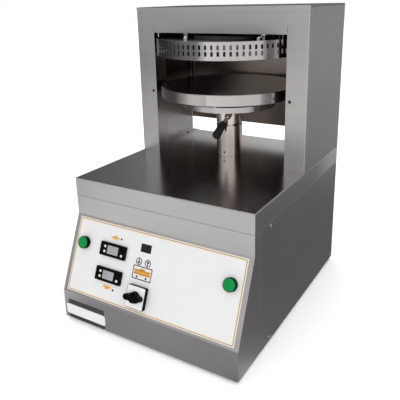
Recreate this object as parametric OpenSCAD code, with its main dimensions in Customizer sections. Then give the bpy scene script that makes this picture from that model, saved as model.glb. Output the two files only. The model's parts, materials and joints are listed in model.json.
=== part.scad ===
// Pizza dough press: a heated plate on a column rises to a fixed heated plate in a portal tower.
// Millimetres, +Z up, front towards -Y. The origin is on the floor under the middle of the footprint.

/* [Press] */
// Diameter of both hot plates
plate_dia = 372; // [330:1:420]
// Thickness of the lower plate
plate_t = 29; // [24:0.5:34]
// Thickness of the upper plate
upper_t = 20; // [14:0.5:24]
// Distance from the deck's front edge to the column's axis
plate_back = 360; // [330:1:400]
// Height of the lower plate's top above the deck, at rest
plate_lift = 201; // [190:1:215]
// Travel of the column
stroke = 98; // [70:1:100]
// Thickness adjustment of the lower plate
adjust = 5; // [2:0.5:8]
// Least gap between the plates
min_gap = 1; // [0.5:0.5:5]
// Diameter of the column
column_dia = 72; // [66:1:78]

/* [Guard] */
// Height of the guard ring
guard_h = 44; // [36:1:60]
// Thickness of the guard ring
guard_t = 1.2; // [0.8:0.1:2]
// Gap between the lower plate and the guard ring
guard_gap = 6; // [4:0.5:12]
// How far the guard ring hangs below the pressing face
guard_lap = 21; // [5:1:26]
// Slots in each row of the guard ring
guard_slots = 80; // [36:4:96]
// Width of a slot
slot_w = 6; // [3:0.5:8]
// Height of a slot
slot_l = 12; // [6:0.5:14]
// Gap between the two rows of slots
slot_gap = 3; // [2:0.5:6]

/* [Casing] */
// Height of the deck above the floor
deck_h = 364; // [352:1:400]
// Height of the deck's folded skirt
skirt_h = 47; // [30:1:60]
// Height of the upper fold of the front panel
fold_h = 267; // [258:1:280]
// Height of the lower fold of the front panel
strip_h = 83; // [60:1:88]
// How far the lower strip stands ahead of the deck's front edge
panel_out = 78; // [60:1:95]
// How far the front panel wraps round each side
cheek_d = 26; // [18:1:40]
// Height of the rubber feet
foot_h = 8; // [6:0.5:12]
// Thickness of the casing sheet
sheet = 1.5; // [1:0.1:2]

/* [Tower] */
// Height of the tower above the deck
tower_h = 406; // [400:1:440]
// How far the tower's front lies ahead of the column's axis
tower_ahead = 72; // [68:1:84]
// Width of each post
post_w = 55.5; // [52:0.5:70]
// Depth of each post
post_d = 50; // [48:1:60]
// Height of the header above the opening
header_h = 67; // [50:1:75]
// Height of the open slot at the rear, above the deck
rear_slot_h = 45; // [20:1:70]

/* [Controls] */
// Width of a controller's frame
ctl_w = 78; // [72:1:84]
// Height of a controller's frame
ctl_h = 33; // [29:1:36]
// Side of the main switch's plate
switch_w = 52; // [46:1:56]
// Height of the switch knob above its plate
knob_h = 17; // [15:1:26]
// Diameter of a pushbutton's frame
bezel_dia = 31; // [29:0.5:36]
// Travel of a pushbutton
button_travel = 4; // [2:0.5:4.5]
// Travel of a controller key
key_travel = 0.6; // [0.3:0.1:0.8]

/* [Hidden] */
$fn = 72;

// Clearances shared by all pieces
fit = 0.3;
run = 0.05;
seam = 0.8;
over = 2;
bend_in = 1.5;
fold_r = sheet + bend_in;

// Widths and depths that follow the plates
side_gap = 1.3;
rear_gap = 7.3;
plate_r = plate_dia / 2;
guard_ri = plate_r + guard_gap;
guard_ro = guard_ri + guard_t;
opening_w = 2 * (guard_ro + side_gap);
case_w = opening_w + 2 * post_w;
half_w = case_w / 2;
inner_w = case_w - 2 * sheet;
deck_d = plate_back + guard_ro + rear_gap + sheet;
post_x = (opening_w + post_w) / 2;

// Slanted control panel
tilt = atan2(panel_out, fold_h - strip_h);
slope = norm([panel_out, fold_h - strip_h]);
fold_inset = sheet * tan(tilt / 2);
overlay_t = 0.6;
overlay_in = 11.5;
overlay_end = 6;

// Main switch, measured up from the lower fold
switch_x = -21.8;
switch_up = 43;
switch_drop = slope - switch_up;
switch_t = 11;
switch_r = 3;
knob_shaft_dia = 12;
knob_hub_dia = 29;
knob_hub_h = 10;
knob_bar_l = 46;
knob_bar_t = 14;
knob_gap = 0.4;
knob_root = overlay_t + switch_t + knob_gap;
knob_top = overlay_t + switch_t + knob_h;
knob_shaft_l = knob_root + sheet + fit;

// Footprint: the knob leads at the front and the cable gland at the rear
gland_out = 18;
nose = switch_drop * sin(tilt) + knob_top * cos(tilt) + knob_bar_t / 2 * sin(tilt);
y0 = (nose - deck_d - gland_out) / 2;
rear_y = y0 + deck_d;
axis_y = y0 + plate_back;
tower_y = axis_y - tower_ahead;
strip_y = y0 - panel_out;

// Casing levels
seam_z = deck_h - skirt_h;
panel_top = seam_z - seam;
tower_top_z = deck_h + tower_h;
opening_top = tower_top_z - header_h;
cap_h = 2 * fold_r;
wall_top = tower_top_z - cap_h;
flange = 14;
tower_foot = 26;
tray_t = 2;
tray_lip = 30;
floor_z = foot_h + tray_t;

// Feet
foot_dia = 40;
foot_tip_dia = 34;
foot_hole_dia = 11;
foot_hole_h = 4;
foot_in = 46;

// Panel screws
screw_dia = 4;
screw_hole_dia = 4.5;
screw_head_dia = 8.5;
screw_head_top_dia = 5;
screw_head_h = 2;
screw_l = 4.5;
side_screw_front = 82;
side_screw_rear = 20;
side_screw_top = 10;
side_screw_low = 12;
side_screws = [
    [y0 + side_screw_front, panel_top - side_screw_top],
    [y0 + side_screw_front, foot_h + side_screw_low],
    [rear_y - side_screw_rear, foot_h + side_screw_low]
];
foot_screw_in = 16;
foot_screw_rear = 55;
post_screw_in = 10.5;
post_screw_h = 178;
post_screws = [for (s = [-1, 1]) [s * (opening_w / 2 + post_screw_in), deck_h + post_screw_h]];

// Rear panel vents and cable inlet
vent_n = 9;
vent_w = 90;
vent_h = 5;
vent_pitch = 12;
vent_x = 110;
vent_z = 150;
gland_side = 80;
gland_x = gland_side - half_w;
gland_z = 62;
gland_hole_dia = 20;
gland_hex = 26;
gland_flange_t = 5;
gland_cap_dia = 23;
gland_bore_dia = 9;
gland_in = 14;
gland_nut_t = 5;
gland_stub_dia = gland_hole_dia - 2 * fit;

// Portal: tie columns and head plate
tie_w = 40;
tie_t = 3;
tie_back = 6;
tie_y = tower_y + tie_back + tie_w / 2;
tower_return = 12;
slit_w = 0.8;
slit_h = 20;
header_lip = 15;
lip_end = 34;
head_t = 10;
head_rib_h = 20;
head_rib_t = 8;
head_rear = 25;
head_side = 8;
head_gap = 2;
head_z = tower_top_z - sheet - head_gap - head_rib_h - head_t;
head_top = head_z + head_t;
head_front_y = tower_y + sheet + head_gap;
head_rear_y = rear_y - head_rear;

// Lower plate, carrier and column levels
edge_r = 2;
plate_top = deck_h + plate_lift;
plate_z = plate_top - plate_t;
carrier_gap = 13.5;
carrier_t = 14.5;
carrier_dia = 260;
carrier_top = plate_z - carrier_gap;
carrier_z = carrier_top - carrier_t;
collar_h = 49.5;
collar_top = carrier_z - fit;
collar_z = collar_top - collar_h;
neck_h = 6;
neck_step = 9;
neck_dia = column_dia - 2 * neck_step;
neck_top = collar_z - fit;
column_top = neck_top - neck_h;
spindle_dia = 40;
spindle_in = 60;
spindle_z = column_top - spindle_in;
spacer_dia = 18;
spacer_edge = 11;
spacer_ring_r = carrier_dia / 2 - spacer_edge;
spacer_turn = 10;
bolt_edge = 24;
bolt_ring_r = carrier_dia / 2 - bolt_edge;
bolt_turn = -30;
bolt_n = 4;
bolt_dia = 10;
heater_t = 7;
heater_hole_dia = 60;
heater_bolt_gap = 6;
heater_dia = 2 * (bolt_ring_r - bolt_dia / 2 - heater_bolt_gap);
bolt_hole_dia = 10.6;
bolt_hex = 17;
bolt_head_h = 6.4;
bolt_in = 10;
bolt_hole_in = 12;

// Upper plate
upper_face = plate_top + stroke + adjust + min_gap;
upper_top = upper_face + upper_t;
stud_dia = 12;
stud_hole_dia = 12.6;
stud_sleeve_dia = 22;
stud_front_turn = 75;
stud_front_edge = 67;
stud_rear_turn = 135;
stud_rear_edge = 40;
stud_places = [for (s = [-1, 1], p = [[stud_front_turn, stud_front_edge], [stud_rear_turn, stud_rear_edge]])
    [s * p[0], plate_r - p[1]]];
stud_in = 10;
stud_nut_h = 9;
stud_nut_hex = 19;
stud_end = 3;
heater_stud_gap = 13;
upper_heater_dia = 2 * (plate_r - stud_front_edge - stud_sleeve_dia / 2 - heater_stud_gap);

// Guard ring and its straps
guard_z = upper_face - guard_lap;
guard_top = guard_z + guard_h;
slot_mid_share = 0.525;
strap_w = 18;
strap_t = 2;
strap_lap = 14;
strap_foot = 28;
strap_gap = 0.1;
strap_clear = 1.2;
strap_r = guard_ro + strap_gap;
strap_ahead = tower_ahead - sheet - strap_w / 2 - strap_clear;
strap_front_turn = acos(strap_ahead / (strap_r + strap_t));
strap_rear_turn = 140;
strap_turns = [strap_front_turn, strap_rear_turn, -strap_front_turn, -strap_rear_turn];
dome_dia = 10;
dome_hex = 13;
dome_hex_h = 5;
dome_in = 14;
clamp_n = 4;
clamp_turn = -28;
clamp_ring_r = 134;

// Lifting drive
drive_t = 12;
drive_w = 170;
drive_front = 64;
gear_w = 116;
gear_h = 96;
gear_r = 14;
gear_boss_dia = 64;
gear_boss_h = 6;
gear_offset = 45;
gear_worm_dia = 74;
gear_worm_l = 140;
gear_z = floor_z + drive_t;
gear_top = gear_z + gear_h;
motor_dia = 98;
motor_l = 150;
motor_flange_dia = 116;
motor_flange_t = 10;
motor_fin_n = 18;
motor_fin_gap = 56;
motor_fin_t = 2.5;
motor_fin_h = 5;
motor_box_w = 66;
motor_box_l = 70;
motor_box_h = 26;
motor_box_in = 22;
motor_z = gear_z + gear_h / 2;
motor_y = axis_y - gear_worm_l / 2;
fan_l = 34;
fan_wall = 2;
fan_dia = motor_dia + 2 * motor_fin_h + 2 * fan_wall;
fan_slot_n = 12;
fan_slot_w = 6;
fan_slot_in_share = 0.35;
fan_slot_out_share = 0.8;
screw_journal_dia = 24;
screw_core_dia = 26;
screw_collar_dia = 44;
screw_collar_h = 10;
screw_spare = 8;
screw_foot = 8;
nut_flange_h = 10;
nut_gap = 4;
nut_l = 40;
nut_dia = 50;
nut_z = gear_top + gear_boss_h + screw_collar_h + nut_gap;
column_z = nut_z + nut_flange_h;
screw_top = column_z + nut_l + stroke + screw_spare;
column_bore_dia = 50;
arm_z = column_z + nut_gap;
arm_t = 16;
arm_wall = 15;
arm_hub_dia = column_dia + 2 * arm_wall;
arm_tail_w = 34;
rod_back = 92;
rod_dia = 20;
rod_y = axis_y + rod_back;

// Guide housing under the deck
guide_gap = 6;
guide_z = arm_z + arm_t + stroke + guide_gap;
guide_plate_t = 10;
guide_top = deck_h - sheet;
guide_plate_z = guide_top - guide_plate_t;
guide_side = 8;
guide_front = 6;
guide_rear = 24;
bush_wall = 5;
bush_dia = column_dia + 2 * bush_wall;
bush_l = 28;
housing_wall = 11;
housing_dia = bush_dia + 2 * housing_wall;
housing_rib_n = 8;
housing_rib_t = 8;
housing_rib_out = 22;
deck_hole_gap = 1;
pin_hole_dia = 6;
pin_hole_depth = 8;
pin_hole_h = 13;
pin_hole_turn = 4;

// Thickness lever
lever_turn = 30;
lever_skew = -45;
lever_dip = 44;
lever_root = 32;
lever_up = 29;
lever_z = collar_z + lever_up;
lever_rod_dia = 10;
lever_rod_l = 56;
lever_boss_dia = 18;
lever_boss_l = 15;
grip_dia = 23;
grip_neck_dia = 18;
grip_l = 40;
grip_in = 32;
collar_groove = 1.5;
collar_groove_h = 3;
collar_lug_dia = 12;
collar_lug_l = 7;
collar_lug_turn = -62;
collar_lug_up = 24;

// Controllers and their keys
ctl_x = -115.2;
ctl_drops = [68.5, 129.4];
ctl_frame_t = 6;
ctl_body_w_cut = 7;
ctl_body_h_cut = 5;
ctl_body_l = 52;
ctl_corner = 2;
glass_w = 34;
glass_h = 21;
glass_depth = 0.8;
key_dia = 6.4;
key_fit = 0.25;
key_floor = 2;
key_rest = 0.9;
key_proud = 0.9;
key_places = [[-24.2, 6.2], [-24.2, -6], [28.5, -7]];
cut_fit = 0.5;

// Timer
timer_x = -23;
timer_drop = 43;
timer_glass_w = 29;
timer_glass_h = 19;
timer_proud = 0.3;
timer_body_w = 66;
timer_body_h = 60;
timer_body_t = 24;
timer_shift = 14;

// Pushbuttons
button_in = 42;
button_drop = 68;
bezel_h = 11;
bezel_wall = 1.2;
bezel_floor = 1.5;
barrel_dia = 22;
barrel_bore_dia = 18;
barrel_l = 26;
cap_fit = 0.3;
cap_t = 7;
cap_proud = 2;
cap_round = 1.2;
stem_dia = 17.4;
stem_l = 20;
button_x = half_w - button_in;

// Electrics behind the panel and on the floor
block_w = 30;
block_l = 34;
switch_body_w = 44;
switch_body_l = 46;
rail_w = 150;
rail_d = 40;
rail_h = 8;
rail_side = 130;
rail_x = half_w - rail_side;
rail_in = 130;
contactor_w = 45;
contactor_d = 78;
contactor_h = 82;
contactor_n = 3;
contactor_pitch = 49;

// Limit switches beside the arm
limit_x = 34;
limit_t = 3;
limit_w = 26;
limit_body_w = 18;
limit_body_h = 36;
limit_gap = 2;
limit_foot = 30;

// A box between two opposite corners
module slab(low, high) {
    translate(low) cube(high - low);
}

// Places children on the control panel: across, down from the fold, and out from the sheet
module on_panel(x, drop, rise = 0) {
    translate([x, y0 - drop * sin(tilt) - rise * cos(tilt), fold_h - drop * cos(tilt) + rise * sin(tilt)])
        rotate([90 - tilt, 0, 0])
            children();
}

// Places children on the column's axis
module on_axis(z) {
    translate([0, axis_y, z])
        children();
}

// Places children on a circle round the column's axis, turned from the front towards +X
module round_axis(turn, r, z) {
    on_axis(z)
        rotate([0, 0, turn])
            translate([0, -r, 0])
                children();
}

module tube(od, id, h) {
    difference() {
        cylinder(d = od, h = h);
        translate([0, 0, -over])
            cylinder(d = id, h = h + 2 * over);
    }
}

module hex(flats, h) {
    cylinder(d = flats / cos(30), h = h, $fn = 6);
}

// A rectangle with round corners
module round_rect(w, h, r) {
    square([w - 2 * r, h], center = true);
    square([w, h - 2 * r], center = true);
    for (x = [-1, 1], y = [-1, 1])
        translate([x * (w / 2 - r), y * (h / 2 - r)])
            circle(r);
}

// A section with two round upper corners
module crown_profile(w, h, r) {
    translate([-w / 2, 0])
        square([w, h - r]);
    translate([r - w / 2, 0])
        square([w - 2 * r, h]);
    for (s = [-1, 1])
        translate([s * (w / 2 - r), h - r])
            circle(r);
}

// A block whose four upper edges are round
module crown(w, d, h, r) {
    intersection() {
        rotate([90, 0, 0])
            linear_extrude(d, center = true)
                crown_profile(w, h, r);
        rotate([90, 0, 90])
            linear_extrude(w, center = true)
                crown_profile(d, h, r);
    }
}

// A sheet cover with folded skirts, open below
module folded_cover(w, d, h) {
    difference() {
        crown(w, d, h, fold_r);
        translate([0, 0, -over])
            crown(w - 2 * sheet, d - 2 * sheet, h - sheet + over, bend_in);
    }
}

// A hot plate with rounded rims
module hot_plate(t) {
    rotate_extrude()
        difference() {
            square([plate_r, t]);
            for (z = [0, t - edge_r])
                translate([plate_r - edge_r, z])
                    square([edge_r + over, edge_r]);
        }
    rotate_extrude()
        for (z = [edge_r, t - edge_r])
            translate([plate_r - edge_r, z])
                circle(edge_r);
}

module base_tray() {
    color("silver")
        difference() {
            slab([fit - inner_w / 2, strip_y + sheet + fit, foot_h],
                 [inner_w / 2 - fit, rear_y - 2 * sheet - fit, foot_h + tray_lip]);
            slab([fit + tray_t - inner_w / 2, strip_y + sheet + fit + tray_t, floor_z],
                 [inner_w / 2 - fit - tray_t, rear_y - 2 * sheet - fit - tray_t, foot_h + tray_lip + over]);
            side_screw_holes();
        }
}

module side_screw_holes() {
    for (p = side_screws)
        translate([0, p[0], p[1]])
            rotate([0, 90, 0])
                cylinder(d = screw_hole_dia, h = case_w + 2 * over, center = true);
}

module feet() {
    color("dimgray")
        for (x = [foot_in - half_w, half_w - foot_in], y = [strip_y + foot_in, rear_y - foot_in])
            translate([x, y, 0])
                difference() {
                    cylinder(d1 = foot_tip_dia, d2 = foot_dia, h = foot_h);
                    translate([0, 0, -over])
                        cylinder(d = foot_hole_dia, h = foot_hole_h + over);
                }
}

module front_panel() {
    color("silver")
        difference() {
            translate([-half_w, y0, 0])
                rotate([90, 0, 90])
                    linear_extrude(case_w)
                        polygon([[0, panel_top], [0, fold_h], [-panel_out, strip_h], [-panel_out, foot_h],
                                 [cheek_d, foot_h], [cheek_d, panel_top]]);
            translate([-inner_w / 2, y0, 0])
                rotate([90, 0, 90])
                    linear_extrude(inner_w)
                        polygon([[sheet, panel_top + over], [sheet, fold_h - fold_inset],
                                 [sheet - panel_out, strip_h - fold_inset],
                                 [sheet - panel_out, foot_h - over],
                                 [cheek_d + over, foot_h - over], [cheek_d + over, panel_top + over]]);
            panel_cuts();
        }
}

// Openings for the controls, through the front panel and the overlay
module panel_cuts() {
    deep = sheet + overlay_t + 2 * over;
    ctl_cut = [ctl_w - ctl_body_w_cut + 2 * cut_fit, ctl_h - ctl_body_h_cut + 2 * cut_fit, deep];
    for (drop = ctl_drops)
        on_panel(ctl_x, drop)
            cube(ctl_cut, center = true);
    on_panel(timer_x, timer_drop)
        cube([timer_glass_w + 2 * cut_fit, timer_glass_h + 2 * cut_fit, deep], center = true);
    on_panel(switch_x, switch_drop)
        cylinder(d = knob_shaft_dia + 2 * cut_fit, h = deep, center = true);
    for (s = [-1, 1])
        on_panel(s * button_x, button_drop)
            cylinder(d = barrel_dia + 2 * cut_fit, h = deep, center = true);
}

module side_panel() {
    start_y = y0 + cheek_d + seam;
    difference() {
        union() {
            slab([half_w - sheet, start_y, foot_h], [half_w, rear_y, panel_top]);
            slab([half_w - flange, start_y, panel_top - sheet], [half_w, rear_y - 2 * sheet, panel_top]);
            slab([half_w - flange, rear_y - 2 * sheet, foot_h], [half_w, rear_y - sheet, panel_top]);
        }
        side_screw_holes();
        tie_holes(panel_top - sheet - over, sheet + 2 * over);
    }
}

// A pan-head screw whose head sits on the sheet and points out along +Z
module panel_screw() {
    cylinder(d1 = screw_head_dia, d2 = screw_head_top_dia, h = screw_head_h);
    translate([0, 0, -screw_l])
        cylinder(d = screw_dia, h = screw_l + screw_head_h / 2);
}

module panel_screws() {
    color("gray") {
        for (s = [-1, 1], p = side_screws)
            translate([s * half_w, p[0], p[1]])
                rotate([0, s * 90, 0])
                    panel_screw();
        for (p = post_screws)
            translate([p[0], tower_y, p[1]])
                rotate([90, 0, 0])
                    panel_screw();
        at_foot_screws(deck_h + sheet)
            panel_screw();
    }
}

module left_side_panel() {
    color("lightgray")
        mirror([1, 0, 0])
            side_panel();
}

module right_side_panel() {
    color("lightgray")
        side_panel();
}

module base_rear_panel() {
    color("silver")
        difference() {
            slab([fit - inner_w / 2, rear_y - sheet, foot_h], [inner_w / 2 - fit, rear_y, panel_top]);
            for (s = [-1, 1], i = [0 : vent_n - 1])
                translate([s * vent_x, rear_y, vent_z + i * vent_pitch])
                    rotate([90, 0, 0])
                        linear_extrude(sheet + 2 * over, center = true)
                            round_rect(vent_w, vent_h, vent_h / 2 - run);
            translate([gland_x, rear_y, gland_z])
                rotate([90, 0, 0])
                    cylinder(d = gland_hole_dia, h = sheet + 2 * over, center = true);
        }
}

module cable_gland() {
    color("black")
        translate([gland_x, rear_y, gland_z])
            rotate([-90, 0, 0])
                difference() {
                    union() {
                        hex(gland_hex, gland_flange_t);
                        cylinder(d1 = gland_cap_dia, d2 = gland_cap_dia - gland_flange_t, h = gland_out);
                        translate([0, 0, -gland_in])
                            cylinder(d = gland_stub_dia, h = gland_in + over);
                        translate([0, 0, -sheet - gland_nut_t])
                            hex(gland_hex, gland_nut_t);
                    }
                    translate([0, 0, -gland_in - over])
                        cylinder(d = gland_bore_dia, h = gland_in + gland_out + 2 * over);
                }
}

module deck() {
    color("lightgray")
        difference() {
            translate([0, y0 + deck_d / 2, seam_z])
                folded_cover(case_w, deck_d, skirt_h);
            on_axis(guide_top - over)
                cylinder(d = column_dia + 2 * deck_hole_gap, h = sheet + 2 * over);
            tie_holes(guide_top - over, sheet + 2 * over);
            foot_screw_holes();
        }
}

// Places children on the tower's foot flanges, where screws hold them on the deck
module at_foot_screws(z) {
    for (s = [-1, 1])
        translate([s * (half_w - foot_screw_in), rear_y - foot_screw_rear, z])
            children();
}

module foot_screw_holes() {
    at_foot_screws(deck_h - sheet - over)
        cylinder(d = screw_hole_dia, h = 2 * sheet + 2 * over);
}

// Square holes that the tie columns pass through
module tie_holes(z, h) {
    for (s = [-1, 1])
        translate([s * post_x, tie_y, z + h / 2])
            cube([tie_w + 2 * fit, tie_w + 2 * fit, h], center = true);
}

module tie_columns() {
    color("slategray")
        for (s = [-1, 1])
            translate([s * post_x, tie_y, floor_z])
                linear_extrude(head_z - floor_z)
                    difference() {
                        square(tie_w, center = true);
                        square(tie_w - 2 * tie_t, center = true);
                    }
}

module tower_front() {
    color("silver")
        difference() {
            union() {
                translate([0, tower_y + tower_return, deck_h])
                    linear_extrude(wall_top - deck_h)
                        rotate(180)
                            difference() {
                                crown_profile(case_w, tower_return, fold_r);
                                translate([0, -over])
                                    crown_profile(inner_w, tower_return - sheet + over, bend_in);
                            }
                slab([lip_end - opening_w / 2, tower_y + sheet / 2, opening_top],
                     [opening_w / 2 - lip_end, tower_y + header_lip, opening_top + sheet]);
            }
            slab([-opening_w / 2, tower_y - over, deck_h - over],
                 [opening_w / 2, tower_y + 2 * over, opening_top]);
            for (s = [-1, 1])
                translate([s * (opening_w - slit_w) / 2, tower_y, opening_top + slit_h / 2])
                    cube([slit_w, 2 * sheet + over, slit_h + 2 * over], center = true);
            for (p = post_screws)
                translate([p[0], tower_y, p[1]])
                    rotate([90, 0, 0])
                        cylinder(d = screw_hole_dia, h = 2 * over + sheet, center = true);
        }
}

// The folded inner wall and back of a post
module post_liner() {
    wall_x = opening_w / 2;
    translate([0, 0, deck_h])
        linear_extrude(opening_top - deck_h + slit_h) {
            translate([wall_x, tower_y + sheet])
                square([sheet, post_d - sheet]);
            translate([wall_x, tower_y + post_d - sheet])
                square([post_w - sheet - fit, sheet]);
        }
}

module left_post_liner() {
    color("silver")
        mirror([1, 0, 0])
            post_liner();
}

module right_post_liner() {
    color("silver")
        post_liner();
}

module tower_side() {
    slab([half_w - sheet, tower_y + tower_return, deck_h], [half_w, rear_y, wall_top]);
    slab([half_w - flange, rear_y - 2 * sheet, deck_h + rear_slot_h], [half_w, rear_y - sheet, wall_top]);
    difference() {
        slab([half_w - tower_foot, tower_y + post_d + fit, deck_h], [half_w, rear_y, deck_h + sheet]);
        foot_screw_holes();
    }
}

module tower_left_side() {
    color("lightgray")
        mirror([1, 0, 0])
            tower_side();
}

module tower_right_side() {
    color("lightgray")
        tower_side();
}

module tower_top() {
    color("lightgray")
        translate([0, (tower_y + rear_y) / 2, wall_top])
            folded_cover(case_w, rear_y - tower_y, cap_h);
}

module tower_rear_panel() {
    color("silver")
        slab([fit - inner_w / 2, rear_y - sheet, deck_h + rear_slot_h],
             [inner_w / 2 - fit, rear_y, wall_top]);
}

module head_plate() {
    color("slategray")
        difference() {
            union() {
                slab([head_side - half_w, head_front_y, head_z], [half_w - head_side, head_rear_y, head_top]);
                for (y = [head_front_y + head_rib_t / 2, axis_y])
                    translate([0, y, head_top + head_rib_h / 2])
                        cube([case_w - 2 * head_side, head_rib_t, head_rib_h], center = true);
            }
            at_studs(head_z - over)
                cylinder(d = stud_hole_dia, h = head_t + 2 * over);
        }
}

// Places children at the four hanging studs of the upper plate
module at_studs(z) {
    for (p = stud_places)
        round_axis(p[0], p[1], z)
            children();
}

module upper_plate() {
    color("dimgray")
        difference() {
            on_axis(upper_face)
                hot_plate(upper_t);
            at_studs(upper_top - stud_in)
                cylinder(d = stud_hole_dia, h = stud_in + over);
        }
}

module upper_heater() {
    color("tan")
        on_axis(upper_top)
            tube(upper_heater_dia, heater_hole_dia, heater_t);
}

module upper_studs() {
    color("gray")
        at_studs(upper_top - stud_in) {
            cylinder(d = stud_dia, h = head_top - upper_top + stud_in + stud_nut_h + stud_end);
            translate([0, 0, stud_in])
                cylinder(d = stud_sleeve_dia, h = head_z - upper_top);
            translate([0, 0, head_top - upper_top + stud_in])
                hex(stud_nut_hex, stud_nut_h);
        }
}

module guard_ring() {
    slot_mid = guard_z + slot_mid_share * guard_h;
    row_shift = (slot_l + slot_gap) / 2;
    color("whitesmoke")
        difference() {
            on_axis(guard_z)
                tube(2 * guard_ro, 2 * guard_ri, guard_h);
            for (i = [0 : guard_slots - 1], row = [-1, 1])
                round_axis((i + 1 / 2) * 360 / guard_slots, guard_ri, slot_mid + row * row_shift)
                    rotate([90, 0, 0])
                        linear_extrude(2 * guard_t + over, center = true)
                            round_rect(slot_w, slot_l, slot_w / 2 - run);
        }
}

module guard_straps() {
    color("gainsboro")
        for (turn = strap_turns)
            round_axis(turn, strap_r, 0)
                difference() {
                    union() {
                        slab([-strap_w / 2, -strap_t, guard_top - strap_lap], [strap_w / 2, 0, head_z]);
                        slab([-strap_w / 2, -strap_t, head_z - strap_t], [strap_w / 2, strap_foot, head_z]);
                    }
                    translate([0, dome_in, head_z - strap_t - over])
                        cylinder(d = screw_hole_dia, h = strap_t + 2 * over);
                }
}

// Dome nuts under the strap feet, and on top of the upper plate over its clamp bolts
module guard_nuts() {
    nut_top = head_z - strap_t;
    color("gainsboro") {
        for (turn = strap_turns)
            round_axis(turn, strap_r - dome_in, nut_top - dome_hex_h) {
                hex(dome_hex, dome_hex_h);
                sphere(d = dome_dia);
                cylinder(d = screw_dia, h = dome_hex_h + strap_t);
            }
        for (i = [0 : clamp_n - 1])
            round_axis(clamp_turn + i * 360 / clamp_n, clamp_ring_r, upper_top) {
                hex(dome_hex, dome_hex_h);
                translate([0, 0, dome_hex_h])
                    sphere(d = dome_dia);
            }
    }
}

module guide_housing() {
    plate_rear_y = rod_y + guide_rear;
    color("slategray")
        difference() {
            union() {
                slab([guide_side - half_w, tower_y - guide_front, guide_plate_z],
                     [half_w - guide_side, plate_rear_y, guide_top]);
                on_axis(guide_z)
                    cylinder(d = housing_dia, h = guide_plate_z - guide_z + over);
                for (i = [0 : housing_rib_n - 1])
                    round_axis((i + 1 / 2) * 360 / housing_rib_n, housing_dia / 2, guide_z)
                        rotate([90, 0, -90])
                            linear_extrude(housing_rib_t, center = true)
                                polygon([[-over, 0], [0, 0], [housing_rib_out, guide_plate_z - guide_z],
                                         [-over, guide_plate_z - guide_z]]);
            }
            on_axis(guide_z - over)
                cylinder(d = bush_dia, h = guide_top - guide_z + 2 * over);
            tie_holes(guide_plate_z - over, guide_plate_t + 2 * over);
        }
}

module guide_bushes() {
    color("peru")
        for (z = [guide_z, guide_top - bush_l])
            on_axis(z)
                tube(bush_dia - 2 * run, column_dia + 2 * run, bush_l);
}

module drive_plate() {
    color("slategray")
        slab([-drive_w / 2, axis_y - drive_front, floor_z], [drive_w / 2, rod_y + guide_rear, gear_z]);
}

module gearbox() {
    color("darkgray")
        difference() {
            union() {
                on_axis(gear_z)
                    linear_extrude(gear_h)
                        round_rect(gear_w, gear_w, gear_r);
                on_axis(gear_top)
                    cylinder(d = gear_boss_dia, h = gear_boss_h);
                translate([-gear_offset, motor_y, motor_z])
                    rotate([-90, 0, 0])
                        cylinder(d = gear_worm_dia, h = gear_worm_l);
            }
            on_axis(gear_z + screw_foot)
                cylinder(d = screw_journal_dia + 2 * run, h = gear_h + gear_boss_h);
        }
}

module motor() {
    color("steelblue")
        translate([-gear_offset, motor_y, motor_z])
            rotate([90, 0, 0]) {
                cylinder(d = motor_flange_dia, h = motor_flange_t);
                cylinder(d = motor_dia, h = motor_flange_t + motor_l);
                for (i = [0 : motor_fin_n - 1])
                    rotate([0, 0, motor_fin_gap + i * (360 - 2 * motor_fin_gap) / (motor_fin_n - 1)])
                        slab([-motor_fin_t / 2, motor_dia / 2 - motor_fin_h, motor_flange_t / 2],
                             [motor_fin_t / 2, motor_dia / 2 + motor_fin_h, motor_flange_t + motor_l]);
                translate([0, 0, motor_flange_t + (motor_l - motor_box_l) / 2])
                    slab([-motor_box_w / 2, motor_box_in, 0],
                         [motor_box_w / 2, motor_dia / 2 + motor_box_h, motor_box_l]);
            }
}

module fan_cover() {
    color("dimgray")
        translate([-gear_offset, motor_y - motor_flange_t - motor_l, motor_z])
            rotate([90, 0, 0])
                difference() {
                    cylinder(d = fan_dia, h = fan_l);
                    translate([0, 0, -over])
                        cylinder(d = fan_dia - 2 * fan_wall, h = fan_l - fan_wall + over);
                    for (i = [0 : fan_slot_n - 1])
                        rotate([0, 0, i * 360 / fan_slot_n])
                            slab([-fan_slot_w / 2, fan_dia / 2 * fan_slot_in_share, fan_l - fan_wall - over],
                                 [fan_slot_w / 2, fan_dia / 2 * fan_slot_out_share, fan_l + over]);
                }
}

module drive_screw() {
    collar_foot = gear_top + gear_boss_h;
    color("gainsboro") {
        on_axis(gear_z + screw_foot)
            cylinder(d = screw_journal_dia, h = collar_foot - gear_z - screw_foot + over);
        on_axis(collar_foot)
            cylinder(d = screw_collar_dia, h = screw_collar_h);
        on_axis(collar_foot)
            cylinder(d = screw_core_dia, h = screw_top - collar_foot);
    }
}

module screw_nut() {
    color("peru")
        difference() {
            union() {
                on_axis(nut_z)
                    cylinder(d = column_dia, h = nut_flange_h);
                on_axis(nut_z)
                    cylinder(d = nut_dia - 2 * run, h = nut_flange_h + nut_l);
            }
            on_axis(nut_z - over)
                cylinder(d = screw_core_dia + 2 * run, h = nut_flange_h + nut_l + 2 * over);
        }
}

module ram_column() {
    color("gainsboro")
        difference() {
            union() {
                on_axis(column_z)
                    cylinder(d = column_dia, h = column_top - column_z);
                on_axis(column_top - over)
                    cylinder(d = neck_dia, h = neck_h + over);
            }
            on_axis(column_z - over)
                cylinder(d = column_bore_dia, h = spindle_z - column_z);
            on_axis(column_z)
                cylinder(d = spindle_dia + 2 * run, h = neck_top - column_z + over);
            round_axis(pin_hole_turn, column_dia / 2 + over, deck_h + pin_hole_h)
                rotate([-90, 0, 0])
                    cylinder(d = pin_hole_dia, h = pin_hole_depth + over);
        }
}

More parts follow.
